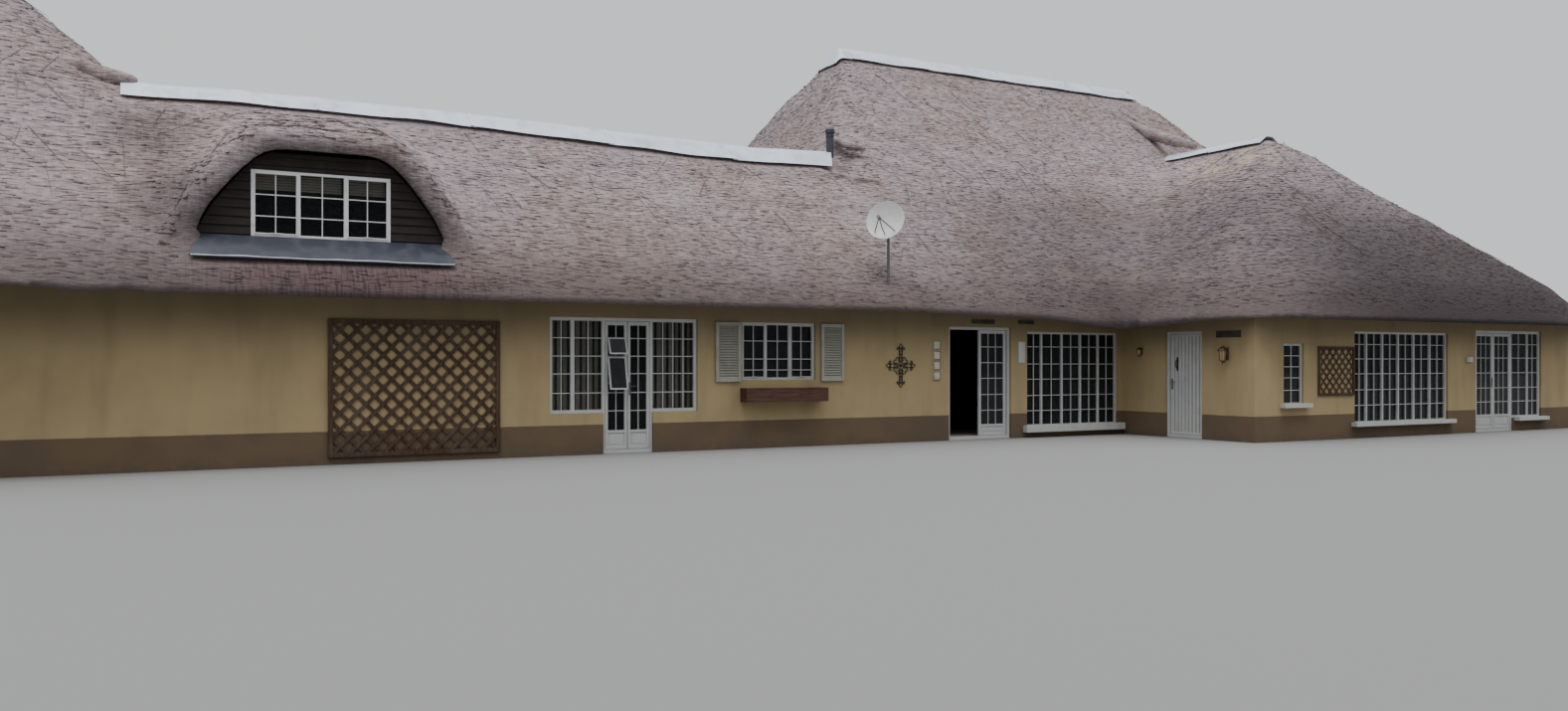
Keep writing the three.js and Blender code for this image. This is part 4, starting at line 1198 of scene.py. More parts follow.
@dataclass
class BoardedDoor(Leaf):
    """A white door of upright boards behind a flat security grille."""

    boards: int = 9
    groove: float = 0.016
    bars: int = 6

    def build(self) -> None:
        """Models boards, ledges, grille, hinges, lock and handle."""
        w, h, t = self.width, self.height, LEAF_THICK
        pitch, half = w / self.boards, self.groove / 2
        # Painted shade in the grooves between the boards: a dark sheet behind them.
        sheet = span(0.002, w - 0.002, 0.020, 0.032, 0.002, h - 0.002)
        self.hang(model_blocks("side_door_backing", [sheet], 0.001), GROOVE_SHADE)
        blocks = []
        for index in range(self.boards):
            start, end = index * pitch + half, (index + 1) * pitch - half
            blocks.append(span(start, end, 0.006, 0.022, 0.01, h - 0.01))
        blocks += [span(0.02, w - 0.02, 0.030, t, z, z + 0.12) for z in (0.16, h / 2 - 0.06, h - 0.28)]
        blocks += ring(0, w, 0, h, 0.035, 0.0, 0.014)
        blocks += self.hinges()
        self.hang(model_blocks("side_door_boards", blocks, 0.0025), SHADED_WHITE, main=True)
        bars = []
        for index in range(1, self.bars):
            x = 0.035 + (w - 0.07) * index / self.bars
            bars.append(span(x - 0.005, x + 0.005, 0.001, 0.009, 0.03, h - 0.03))
        bars += [span(0.03, w - 0.03, 0.0, 0.008, z - 0.006, z + 0.006) for z in (0.45, 0.95, 1.45)]
        self.hang(model_blocks("side_door_grille", bars, 0.0015), SHADED_WHITE)
        self.lock()
        self.handle()

    def lock(self) -> None:
        """A long black wrought lock plate with a pull handle, over the lever at the door's left side."""
        x, low, high = 0.155, 1.17, 1.46
        blocks = [span(x - 0.020, x + 0.020, -0.005, 0.002, low + 0.03, high - 0.03)]
        for z in (low + 0.03, high - 0.03):
            blocks.append(Block((x, -0.0015, z), (0.032, 0.006, 0.032), (0, math.radians(45), 0)))
        plate = model_blocks("side_door_plate", blocks, 0.0015)
        grip = []
        for step in range(13):
            t = step / 12
            bow = math.sin(math.pi * t)
            z = (low + high) / 2 + 0.095 * (2 * t - 1)
            grip.append((x - 0.012 * bow, -0.004 - 0.034 * bow ** 0.6, z))
        pull = model_sweep("side_door_pull", [grip], (0.006, 0.009, 0.006))
        self.hang(smooth(join("side_door_lock", [plate, pull])), IRON)


@dataclass
class Joinery:
    """All windows, door frames and door leaves."""

    rim: float = 0.0496
    bead: float = 0.012
    deep: float = 0.10
    threshold: float = 0.06

    def build(self) -> None:
        """Builds the windows, then the frames and the leaves."""
        for part in (*self.windows(), PatioScreen(), WingDoorFrame(), *self.leaves()):
            part.build()
        low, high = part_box("front_door_frame")
        self.door_frame("front_door", high.x - low.x, high.z, placed(low.x, low.y))
        low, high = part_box("side_door_frame")
        self.door_frame("side_door", high.y - low.y, high.z, placed(low.x, high.y, turn=-90.0))

    def windows(self) -> list[SteelWindow]:
        """The windows from left to right, then those at the rear."""
        sides = (0, 2)
        return [
            SteelWindow("dormer_window_frame", (0.6, 1.2), (3.37, 3.66), sides, finish=LIT_WHITE, depth=0.06),
            SteelWindow("shuttered_window_frame", (0.47, 0.92), (1.764, 1.466, 1.284), sides),
            SteelWindow(
                "big_window_frame", (0.39, 0.90, 1.37, 1.83), (1.707, 1.381, 1.093, 0.786, 0.498),
                sill=0.10, reach=0.1,
            ),
            SteelWindow("small_window_frame", (), (1.53, 1.333, 1.133, 0.910), (), 0.05, 0.1, own_glass=True),
            SteelWindow(
                "wide_window_frame", (0.41, 0.89, 1.37, 1.85, 2.36), (1.75, 1.477, 1.197, 0.897, 0.607),
                sill=0.05, reach=0.1,
            ),
            SteelWindow("rear_window_frame", (0.67, 1.34), (1.26, 1.63), sides, own_glass=True, rear=True),
            SteelWindow(
                "range_rear_window_frame", (0.47, 0.94), (1.35, 1.70), sides, own_glass=True, rear=True,
            ),
        ]

    def leaves(self) -> list[Leaf]:
        """The seven door leaves."""
        patio = {"columns": 2, "levels": PATIO_LEVELS, "panel": 0.29, "stile": 0.042, "glass": CLEAR}
        front = {"columns": 3, "levels": FRONT_LEVELS, "panel": 0.20, "stile": 0.050, "inward": True}
        wing = {"columns": 3, "levels": WING_LEVELS, "panel": 0.28, "stile": 0.048}
        return [
            GlazedDoor("patio_door_left", "patio_leaf_left", Hung.LEFT, vents=True, lever=False, **patio),
            GlazedDoor("patio_door_right", "patio_leaf_right", Hung.RIGHT, **patio),
            GlazedDoor("front_door_left", "front_leaf_left", Hung.OPEN_LEFT, **front),
            GlazedDoor("front_door_right", "front_leaf_right", Hung.RIGHT, lever=False, **front),
            GlazedDoor("wing_door_left", "wing_leaf_left", Hung.LEFT, **wing),
            GlazedDoor("wing_door_right", "wing_leaf_right", Hung.RIGHT, lever=False, **wing),
            BoardedDoor("side_door", "side_leaf", Hung.SIDEWAYS, inward=True),
        ]

    def door_frame(self, door: str, width: float, top: float, place: Matrix) -> None:
        """Jambs, head and threshold of a plain door frame, with a bead on the outer face.

        Args:
            door: name of the door.
            width: width of the frame.
            top: its height above the ground.
            place: where its left edge is.
        """
        rim, bead, deep, threshold = self.rim, self.bead, self.deep, self.threshold
        left, head = rim * 0.45, top - rim / 2
        blocks = [
            member(0, rim, 0, top, deep),
            member(width - rim, width, 0, top, deep),
            member(rim, width - rim, top - rim, top, deep),
            member(rim, width - rim, 0, threshold, deep),
            span(left, left + bead, -0.006, 0.004, threshold, head),
            span(width - left - bead, width - left, -0.006, 0.004, threshold, head),
            span(left + bead, width - left - bead, -0.006, 0.004, head - bead, head),
        ]
        mount(door + "_steel_frame", blocks, place, SHADED_WHITE, [door + "_frame"], bevel=0.003)


# Things fixed to the walls


@dataclass
class Shutter:
    """A louvred shutter fixed flat beside a window."""

    node: str
    hinges_left: bool
    stile: float = 0.052
    rail: float = 0.060
    pitch: float = 0.041

    def build(self) -> None:
        """Models stiles, rails, the tilted slats and two hinges."""
        low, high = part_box(self.node)
        w, d, h = high - low
        blocks = [
            member(0, self.stile, 0, h, d),
            member(w - self.stile, w, 0, h, d),
            span(self.stile, w - self.stile, 0.004, d - 0.004, 0, self.rail),
            span(self.stile, w - self.stile, 0.004, d - 0.004, h - self.rail, h),
        ]
        start, end = self.rail, h - self.rail
        count = int((end - start) / self.pitch)
        size = (w - 2 * self.stile + 0.004, 0.007, 0.050)
        for index in range(count):
            centre = (w / 2, d / 2, start + (index + 0.5) * (end - start) / count)
            blocks.append(Block(centre, size, (math.radians(-38), 0, 0)))
        mount(self.node + "_louvred", blocks, placed(*low), SAGE, [self.node])
        edge = 0.004 if self.hinges_left else w - 0.024
        pins = [span(edge, edge + 0.020, -0.005, 0.004, z, z + 0.090) for z in (0.12, h - 0.21)]
        mount(self.node + "_hinges", pins, placed(*low), SAGE, bevel=0.002)


@dataclass
class WindowBox:
    """A trough of planed boards under the shuttered window."""

    node: str = "window_box"
    thick: float = 0.025
    courses: int = 3
    rim: float = 0.040

    def build(self) -> None:
        """Models lapped courses, ends, bottom, battens and a rim."""
        low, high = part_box(self.node)
        w, d, h = high - low
        t, rim = self.thick, self.rim
        step = h / self.courses
        blocks = [
            span(t, w - t, t * 0.4, d - t * 0.4, 0, t),
            span(t, w - t, d - t, d, t, h - 0.01),
        ]
        for course in range(self.courses):
            z0, z1 = course * step + 0.002, (course + 1) * step - 0.002
            blocks.append(span(0.003, w - 0.003, 0.004, t, z0, z1))
            blocks.append(span(0.0035, t, t + 0.001, d, z0, z1))
            blocks.append(span(w - t, w - 0.0035, t + 0.001, d, z0, z1))
        for x in (0.0, w / 3 - 0.025, 2 * w / 3 - 0.025, w - 0.05):
            blocks.append(span(x, x + 0.05, 0, 0.012, 0.0, h - 0.026))
        for x0, x1, y0, y1 in (
            (0, w, 0, rim), (0, rim, rim, d), (w - rim, w, rim, d), (rim, w - rim, d - 0.030, d),
        ):
            blocks.append(span(x0, x1, y0, y1, h - 0.025, h))
        mount("window_box_boards", blocks, placed(*low), PLANTER, [self.node], bevel=0.003)


@dataclass
class Trellis:
    """A framed lattice of crossed laths on the wall."""

    node: str
    pitch: float
    lath: float
    rim: float

    def build(self) -> None:
        """Models the frame and two layers of laths."""
        low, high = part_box(self.node)
        w, d, h = high - low
        blocks = ring(0, w, 0, h, self.rim, 0, d)
        for slope, y0, y1 in ((1, d * 0.18, d * 0.52), (-1, d * 0.52, d * 0.86)):
            blocks += self.layer(w, h, slope, y0, y1)
        mount(self.node + "_laths", blocks, placed(*low), LATH, [self.node], bevel=0.002)

    def layer(self, w: float, h: float, slope: int, y0: float, y1: float) -> list[Block]:
        """Parallel laths at 45 degrees that end inside the frame.

        Args:
            w: width of the trellis.
            h: height of the trellis.
            slope: 1 for laths that rise to the right, -1 for the others.
            y0: outer face of the layer.
            y1: inner face of the layer.

        Returns:
            The laths.
        """
        tuck = self.rim * 0.6
        x0, x1, z0, z1 = tuck, w - tuck, tuck, h - tuck
        blocks = []
        reach = int((w + h) / self.pitch) + 1
        for index in range(-reach, reach + 1):
            shift = w / 2 - slope * h / 2 + index * self.pitch
            ends = []
            for z in (z0, z1):
                x = shift + slope * z
                if x < x0:
                    z, x = (x0 - shift) * slope, x0
                elif x > x1:
                    z, x = (x1 - shift) * slope, x1
                ends.append((x, z))
            (xa, za), (xb, zb) = ends
            length = math.hypot(xb - xa, zb - za)
            if length < 0.12 or min(za, zb) < z0 - 0.001 or max(za, zb) > z1 + 0.001:
                continue
            centre = ((xa + xb) / 2, (y0 + y1) / 2, (za + zb) / 2)
            blocks.append(Block(centre, (length, y1 - y0, self.lath), (0, math.radians(-45 * slope), 0)))
        return blocks


@dataclass
class IronCross:
    """A wrought-iron cross: arms of paired rods with rings between them, leaf tips and scrolls."""

    node: str = "iron_cross"
    gap: float = 0.032
    rod: float = 0.0068
    ring: float = 0.026
    step: float = 0.062

    def build(self) -> None:
        """Models one arm four times over, the corner scrolls and the boss."""
        low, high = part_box(self.node)
        reach_x, reach_z = (high.x - low.x) / 2 - 0.004, (high.z - low.z) / 2 - 0.004
        paths = [self.circle(0.0, 0.0, 0.062), self.circle(0.0, 0.0, self.ring)]
        for quarter, reach in enumerate((reach_z, reach_x, reach_z, reach_x)):
            paths += [self.turned(path, quarter) for path in self.arm(reach)]
        scrolls = (
            self.curl(0.118, 0.078, 0.040, 215.0, 290.0),
            self.curl(0.078, 0.118, 0.040, 235.0, -290.0),
        )
        paths += [self.turned(path, quarter) for quarter in range(4) for path in scrolls]
        rods = model_sweep("cross_rods", paths, (self.rod, self.rod))
        stud = Block((0, -0.004, 0), (0.040, 0.014, 0.040), (0, math.radians(45), 0))
        whole = smooth(join("iron_cross_forged", [rods, model_blocks("cross_boss", [stud], 0.004)]))
        fix(move(whole, placed(*((low + high) / 2))), IRON, [self.node])

    def arm(self, reach: float) -> list[list[Vec3]]:
        """The upper arm: two rods, rings between them, a cross-bar, side scrolls and a pointed leaf."""
        flare = reach - 0.098
        paths = [[(s * self.gap, 0.0, 0.055), (s * self.gap, 0.0, flare)] for s in (-1, 1)]
        paths.append([(-0.062, 0.0, flare), (0.062, 0.0, flare)])
        for index in range(int((flare - 0.10) / self.step)):
            paths.append(self.circle(0.0, 0.105 + index * self.step, self.ring))
        for s in (-1, 1):
            paths.append([(s * x, y, z) for x, y, z in self.curl(0.060, flare, 0.039, 225.0, -300.0)])
            shares = [step / 12 for step in range(13)]
            paths.append([(s * 0.030 * math.sin(math.pi * t), 0.0, flare + 0.092 * t) for t in shares])
        return paths

    def circle(self, x: float, z: float, radius: float) -> list[Vec3]:
        """A ring as a path that ends where it starts."""
        turns = [2 * math.pi * step / 16 for step in range(17)]
        return [(x + radius * math.cos(a), 0.0, z + radius * math.sin(a)) for a in turns]

    def curl(self, x: float, z: float, radius: float, start: float, sweep: float) -> list[Vec3]:
        """A scroll round a centre that tightens to less than half its radius."""
        points = []
        for step in range(18):
            t = step / 17
            angle = math.radians(start + sweep * t)
            r = radius * (1 - 0.58 * t)
            points.append((x + r * math.cos(angle), 0.0, z + r * math.sin(angle)))
        return points

    def turned(self, path: Sequence[Vec3], quarter: int) -> list[Vec3]:
        """A path turned by quarters about the centre."""
        c, s = ((1, 0), (0, 1), (-1, 0), (0, -1))[quarter]
        return [(x * c + z * s, y, z * c - x * s) for x, y, z in path]


@dataclass
class Lantern:
    """A six-sided wall lantern on a scrolled arm. Its shape is given at full size, from its own middle."""

    node: str
    size: float
    tail: bool = False
    out: float = 0.095

    def build(self) -> None:
        """Models backplate, arm, glass, glazing edges, roof, tray and tail."""
        low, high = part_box(self.node)
        s, wall = self.size, high.x
        y, z = (low.y + high.y) / 2, low.z + 0.075 * self.size
        centre = wall - self.out * s
        glass = self.turned("lantern_glass", ((0.036, -0.070), (0.054, 0.072)), z, placed(centre, y, turn=30))
        fix(smooth(join(self.node + "_glass", [glass]), 20), AMBER)
        roof = self.turned("lantern_roof", (
            (0.058, 0.072), (0.075, 0.078), (0.072, 0.086), (0.040, 0.118), (0.018, 0.128), (0.014, 0.138),
        ), z, placed(centre, y, turn=30))
        tray = self.turned("lantern_tray", (
            (0.012, -0.094), (0.020, -0.086), (0.030, -0.080), (0.042, -0.074), (0.042, -0.066),
            (0.034, -0.064),
        ), z, placed(centre, y, turn=30))
        edges = []
        for corner in range(6):
            a = math.radians(corner * 60 + 30)
            edges.append([
                (centre + math.cos(a) * r * s, y + math.sin(a) * r * s, z + rise * s)
                for r, rise in ((0.038, -0.07), (0.056, 0.074))
            ])
        posts = model_sweep("lantern_edges", edges, (0.0035 * s, 0.0035 * s))
        arm = model_sweep("lantern_arm", [
            [(wall - 0.006, y, z + rise * s)] + [(wall - reach * s, y, z + up * s) for reach, up in points]
            for rise, points in (
                (0.02, ((0.030, 0.054), (0.045, 0.11), (0.075, 0.140), (self.out, 0.134))),
                (-0.02, ((0.030, -0.055), (0.055, -0.098), (self.out, -0.090))),
            )
        ], (0.006 * s, 0.005 * s))
        plate = model_blocks("lantern_plate", [
            span(wall - 0.010, wall, y - 0.030 * s, y + 0.030 * s, z - 0.06 * s, z + 0.12 * s),
            span(wall - 0.018, wall - 0.010, y - 0.018 * s, y + 0.018 * s, z - 0.04 * s, z + 0.07 * s),
        ], 0.004)
        parts = [plate, arm, roof, tray, posts]
        if self.tail:
            drop = [(centre, y, z - 0.09 * s), (centre, y, z - 0.13 * s)]
            parts.append(model_sweep("lantern_tail", [drop], (0.009 * s, 0.006 * s, 0.010 * s, 0.004 * s)))
        fix(smooth(join(self.node + "_frame", parts), 30), BRONZE, [self.node])

    def turned(self, name: str, profile: Sequence[tuple[float, float]], z: float, place: Matrix) -> Thing:
        """A six-sided body at the lantern's size."""
        steps = [(radius * self.size, z + rise * self.size) for radius, rise in profile]
        return move(model_turned(name, steps, 6), place)


@dataclass
class Dish:
    """A satellite dish with its arm, receiver, bracket and mast."""

    node: str = "satellite_dish"
    hub: Vec3 = (11.37, -0.36, 3.83)
    mast_top: Vec3 = (11.45, -0.30, 3.87)
    aim: float = -52.0
    tilt: float = 77.0
    radius: float = 0.335
    depth: float = 0.068
    mast: float = 0.024

    def build(self) -> None:
        """Models the bowl, then the metal parts behind and before it."""
        place = placed(*at(*self.hub), self.aim) @ Matrix.Rotation(math.radians(self.tilt), 4, "X")
        rings = [0.012 + (self.radius - 0.012) * i / 14 for i in range(15)]
        front = [(r, self.depth * (r / self.radius) ** 2) for r in rings]
        lip = [(self.radius + 0.004, self.depth + 0.001), (self.radius + 0.004, self.depth - 0.010)]
        back = [(r, self.depth * (r / self.radius) ** 2 - 0.004) for r in reversed(rings)]
        fix(move(model_turned("dish_bowl", front + lip + back, 64), place), DISH)
        arm = model_sweep("dish_arm", [
            [(0, -0.222, -0.012), (0, -0.25, 0.03), (0, -0.185, 0.21), (0, -0.078, 0.372)],
            [(0.18, -0.20, 0.045), (0.02, -0.085, 0.355)],
            [(-0.18, -0.20, 0.045), (-0.02, -0.085, 0.355)],
        ], (0.010, 0.010))
        horn = model_turned("dish_horn", [
            (0.020, -0.045), (0.030, -0.040), (0.030, -0.006), (0.022, 0.0), (0.022, 0.030), (0.034, 0.036),
            (0.034, 0.045),
        ], 24)
        move(horn, Matrix.Translation((0, -0.075, 0.395)))
        bracket = model_blocks("dish_bracket", [
            span(-0.075, 0.075, -0.075, 0.075, -0.012, -0.004),
            span(-0.045, -0.037, -0.05, 0.05, -0.115, -0.010),
            span(0.037, 0.045, -0.05, 0.05, -0.115, -0.010),
            span(-0.045, 0.045, -0.03, 0.03, -0.060, -0.045),
        ], 0.003)
        parts = [move(part, place) for part in (arm, horn, bracket)]
        top = at(*self.mast_top)
        foot = (top.x, top.y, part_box(self.node)[0].z)
        parts.append(model_sweep("dish_mast", [[foot, tuple(top)]], (self.mast, self.mast), 4))
        fix(smooth(join("dish_arm_and_mast", parts), 30), GREY, [self.node])


@dataclass
class Flue:
    """A metal flue through the thatch with a collar and an open cap."""

    node: str = "flue_pipe"

    def build(self) -> None:
        """Turns the pipe with its seams and the storm collar."""
        low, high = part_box(self.node)
        outer, top = (high.x - low.x) / 2, high.z
        pipe, band = outer - 0.016, outer - 0.005
        profile = [
            (pipe, low.z), (pipe, top - 0.155), (band, top - 0.150), (band, top - 0.125), (pipe, top - 0.120),
            (pipe, top - 0.082), (outer, top - 0.076), (outer, top - 0.006), (outer - 0.006, top),
            (pipe - 0.012, top), (pipe - 0.014, top - 0.10),
        ]
        place = placed((low.x + high.x) / 2, (low.y + high.y) / 2)
        fix(move(model_turned("flue_pipe_seamed", profile, 40), place), SLATE, [self.node])


@dataclass
class WallFittings:
    """Plaques, plates and slotted vents that are too thin for solids of their own."""

    plaque_feet: Sequence[float] = tuple(1.085 + index * 0.184 for index in range(4))
    edge: float = 0.009

    def build(self) -> None:
        """Builds the plain plaques with their rims, the door plate, the vents and the small box."""
        wall = placed(*MEASURED_FROM)
        plaques, rims = [], []
        for z in self.plaque_feet:
            plaques.append(span(12.605, 12.775, -0.018, -FIT, z, z + 0.168))
            rims += ring(12.612, 12.768, z + 0.008, z + 0.160, 0.010, -0.023, -0.016)
        plate = [
            span(14.57, 14.73, -0.016, -FIT, 1.40, 1.80),
            span(14.585, 14.715, -0.020, -0.015, 1.415, 1.785),
        ]
        box = [
            span(23.42, 23.60, -3.19, -3.1404, 1.42, 1.52),
            span(23.45, 23.57, -3.205, -3.188, 1.44, 1.50),
        ]
        vents = (self.grating(13.48, 14.01, 2.12, 2.20), self.grating(14.57, 14.95, 2.13, 2.20))
        mount("wall_plaques", plaques, wall, PLAQUE, bevel=0.006, segments=2)
        mount("plaque_rims", rims, wall, PLANTER, bevel=0.002, segments=2)
        mount("door_plate", plate, wall, SHADED_WHITE, bevel=0.003, segments=2)
        mount("vent_over_door", vents[0], wall, VENT, bevel=0.002, segments=2)
        mount("vent_beside_door", vents[1], wall, VENT, bevel=0.002, segments=2)
        side = placed(*at(17.24, -2.575, 1.92), -90)
        mount("vent_on_return", self.grating(-0.275, 0.275, -0.06, 0.06), side, VENT, bevel=0.002)
        mount("pier_box", box, wall, SHADED_WHITE, bevel=0.004, segments=2)

    def grating(self, x0: float, x1: float, z0: float, z1: float) -> list[Block]:
        """A shallow frame with tilted blades.

        Args:
            x0: left edge.
            x1: right edge.
            z0: foot.
            z1: top.

        Returns:
            The blocks of one vent.
        """
        blocks = ring(x0, x1, z0, z1, self.edge, -0.012, -FIT)
        clear = z1 - z0 - 2 * self.edge
        count = max(3, int(clear / 0.014))
        size = (x1 - x0 - 2 * self.edge, 0.010, 0.003)
        for index in range(count):
            centre = ((x0 + x1) / 2, -0.006, z0 + self.edge + (index + 0.5) * clear / count)
            blocks.append(Block(centre, size, (math.radians(35), 0, 0)))
        blocks.append(span(x0 + 0.004, x1 - 0.004, -0.003, -FIT, z0 + 0.004, z1 - 0.004))
        return blocks


# Roofs


@dataclass
class SheetCap:
    """A ridge cap of overlapping folded sheets."""

    node: str
    along: Grain
    sheet: float = 2.1
    lap: float = 0.10
    thick: float = 0.005
    lift: float = 0.006
    drape: float = 0.0
    taper: Optional[Callable[[float], float]] = None
    mitres: tuple[float, float] = (0.0, 0.0)
    buried: float = 0.0
    trim: float = 0.004
    above: float = 0.4

    def build(self) -> None:
        """Lays sheets over the solid cap, from its far end, each lapping the one before."""
        low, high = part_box(self.node)
        form = clone(solid_of(self.node), self.node + "_form")
        start, end = (low.x, high.x) if self.along is Grain.ALONG_X else (low.y, high.y)
        count = max(1, round((end - start) / self.sheet))
        step = (end - start) / count
        sheets = []
        for index in range(count):
            a = start + index * step - (0.0 if index else self.buried)
            b = min(end, start + (index + 1) * step + self.lap)
            mitres = (self.mitres[0] if index == 0 else 0.0, self.mitres[1] if index == count - 1 else 0.0)
            sheets.append(self.lay(form, low, high, a + 0.002, b - 0.002, index, mitres=mitres))
            if index:
                sheets.append(self.lay(form, low, high, a + 0.015, a + 0.060, index, self.lift + 0.006))
        discard(form)
        if self.drape > 0:
            slope = clone(solid_of("tall_thatch"), self.node + "_slope")
            sheets.append(self.lay(slope, low, high, start - self.drape, start + 0.10, 1, 0.004))
            discard(slope)
        fix(smooth(join(self.node + "_sheets", sheets), 40), RIDGE, [self.node])

    def lay(
        self, target: Thing, low: Vector, high: Vector, a: float, b: float, index: int, raised: float = 0.0,
        mitres: tuple[float, float] = (0.0, 0.0),
    ) -> Thing:
        """One sheet, cut to the cap's width, pressed onto the form and given a thickness.

        Args:
            target: the form that it is pressed onto.
            low: lower corner of the cap.
            high: upper corner of the cap.
            a: where the sheet starts along the ridge.
            b: where it ends.
            index: its number, which turns its dents.
            raised: how far it lies above the form.
            mitres: how far its two ends slope back at the sides.

        Returns:
            The sheet.
        """
        lengthwise = self.along is Grain.ALONG_X
        middle, top = (low + high) / 2, high.z + self.above
        across = (high.y - low.y if lengthwise else high.x - low.x) - 2 * self.trim
        centre = Vector(((a + b) / 2, middle.y, top) if lengthwise else (middle.x, (a + b) / 2, top))
        cuts_x, cuts_y = (24, 16) if lengthwise else (16, 24)
        deselect()
        bpy.ops.mesh.primitive_grid_add(
            x_subdivisions=cuts_x, y_subdivisions=cuts_y, size=1.0, location=centre,
        )
        piece = bpy.context.object
        piece.scale = (b - a, across, 1.0) if lengthwise else (across, b - a, 1.0)
        bpy.ops.object.transform_apply()
        if self.taper:
            self.cut(piece, centre, across / 2, a, b, mitres)
        modify(
            piece, "SHRINKWRAP", target=target, wrap_method="PROJECT", use_project_z=True,
            use_negative_direction=True, use_positive_direction=False,
        )
        if self.buried and index == 0:
            self.run_on(piece, centre)
        edit_where(piece, lambda point: point.z > centre.z - 0.05)
        bpy.ops.mesh.delete(type="VERT")
        switch("OBJECT")
        for vertex in piece.data.vertices:
            x, y, z = vertex.co
            u, v = (x, y - centre.y) if lengthwise else (y, x - centre.x)
            half = self.half_at(u) if self.taper else across / 2
            edge = min(1.0, abs(v) / half)
            dent = 0.004 * math.sin(u * 5.1 + index) * math.sin(v * 17.0 + 2.0 * index)
            lip = 0.008 * max(0.0, edge - 0.85) / 0.15 * math.sin(u * 3.3 + 3.0 * index)
            lapped = self.lift * max(0.0, (u - a) / (b - a))
            vertex.co.z = z + 0.003 + raised + lapped + dent + lip
        modify(piece, "SOLIDIFY", thickness=self.thick, offset=0.0)
        return piece

    def half_at(self, x: float) -> float:
        """Half the width of a tapered cap's sheets at a place along it."""
        return self.taper(x - MEASURED_FROM.x) - self.trim

    def cut(
        self, piece: Thing, centre: Vector, half: float, a: float, b: float, mitres: tuple[float, float],
    ) -> None:
        """Narrows a flat sheet along X to the cap's own width and cuts its mitred ends."""
        for vertex in piece.data.vertices:
            v = (vertex.co.y - centre.y) / half * self.half_at(vertex.co.x)
            t = (vertex.co.x - a) / (b - a)
            vertex.co.x += mitres[0] * abs(v) * (1 - t) - mitres[1] * abs(v) * t
            vertex.co.y = centre.y + v

    def run_on(self, piece: Thing, centre: Vector) -> None:
        """Carries the rows of a sheet on, in a straight line, to where the solid cap has been cut off.

        Args:
            piece: the sheet, already pressed onto the form.
            centre: its centre while it was flat.
        """
        rows: dict[int, list[bpy.types.MeshVertex]] = {}
        for vertex in piece.data.vertices:
            share = (vertex.co.y - centre.y) / self.half_at(vertex.co.x)
            rows.setdefault(round(share * 8), []).append(vertex)
        for row in rows.values():
            hits = sorted((v.co.x, v.co.z) for v in row if v.co.z < centre.z - 0.05)
            if len(hits) < 8:
                continue
            (x0, z0), (x1, z1) = hits[1], hits[7]
            for vertex in row:
                if vertex.co.x < x0:
                    vertex.co.z = z0 + (z1 - z0) / (x1 - x0) * (vertex.co.x - x0)


def main_cap_half(x: float) -> float:
    """Half width of the main ridge cap, which is wider towards its right end."""
    return 0.380 + 0.140 * share_of(x, 4.0, 9.0)


@dataclass
class RidgeCaps:
    """The four ridge caps and the sloping apron below the dormer."""

    steps: int = 40

    def build(self) -> None:
        """Lays the sheets of each cap and dresses the apron."""
        for cap in (
            SheetCap("left_wing_ridge_cap", Grain.ALONG_Y, 1.3),
            SheetCap(
                "main_ridge_cap", Grain.ALONG_X, 2.4, taper=main_cap_half, mitres=(0.0, 0.53), buried=0.25,
            ),
            SheetCap("tall_ridge_cap", Grain.ALONG_X, 2.3, drape=0.34),
            SheetCap("right_wing_ridge_cap", Grain.ALONG_Y, 1.5),
        ):
            cap.build()
        dress("dormer_apron", APRON)
        self.apron_edge()

    def apron_edge(self) -> None:
        """A bright bent edge along the apron's foot."""
        low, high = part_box("dormer_apron")
        path = []
        for index in range(self.steps + 1):
            x = low.x + 0.012 + (high.x - low.x - 0.024) * index / self.steps
            wave = 0.003 * math.sin(x * 4.0) + 0.002 * math.sin(x * 11.0)
            path.append((x, low.y + 0.008, low.z + 0.020 + wave))
        fix(model_sweep("apron_edge", [path], (0.011, 0.011)), RIDGE)


@dataclass
class DormerFront:
    """Lapped boards round the dormer window."""

    node: str = "dormer_boards"
    window: str = "dormer_window_frame"
    exposed: float = 0.118
    thick: float = 0.020

    def build(self) -> None:
        """Cuts tilted boards to the outline of the solid."""
        low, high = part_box(self.node)
        middle = (low + high) / 2
        backing = clone(solid_of(self.node), "dormer_backing")
        cutter = clone(backing, "dormer_outline")
        for piece, front in ((cutter, low.y - 0.05), (backing, low.y + 0.004)):
            for vertex in piece.data.vertices:
                if vertex.co.y < middle.y:
                    vertex.co.y = front
        size = (high.x - low.x + 0.2, self.thick, self.exposed + 0.030)
        boards = []
        for index in range(int((high.z - low.z) / self.exposed) + 2):
            centre = (middle.x, low.y - 0.004, low.z + index * self.exposed)
            block = Block(centre, size, (math.radians(-8), 0, 0))
            board = model_blocks(f"dormer_board_{index}", [block], 0.003)
            modify(board, "BOOLEAN", operation="INTERSECT", object=cutter, solver="EXACT")
            if board.data.polygons:
                boards.append(board)
            else:
                discard(board)
        discard(cutter)
        fix(smooth(join("dormer_lapped_boards", [backing, *boards]), 25), BOARDS, [self.node])
        self.blinds()

    def blinds(self) -> None:
        """Pale slats let down a little way behind the casements."""
        low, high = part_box(self.window)
        blocks = []
        for start, end in ((0.06, 0.57), (0.64, 1.16), (1.24, 1.74)):
            for index in range(6):
                centre = ((start + end) / 2, 0.105, high.z - low.z - 0.06 - index * 0.036)
                blocks.append(Block(centre, (end - start, 0.003, 0.030), (math.radians(28), 0, 0)))
        mount("dormer_blind_slats", blocks, placed(*low), BLIND, bevel=0.0008)


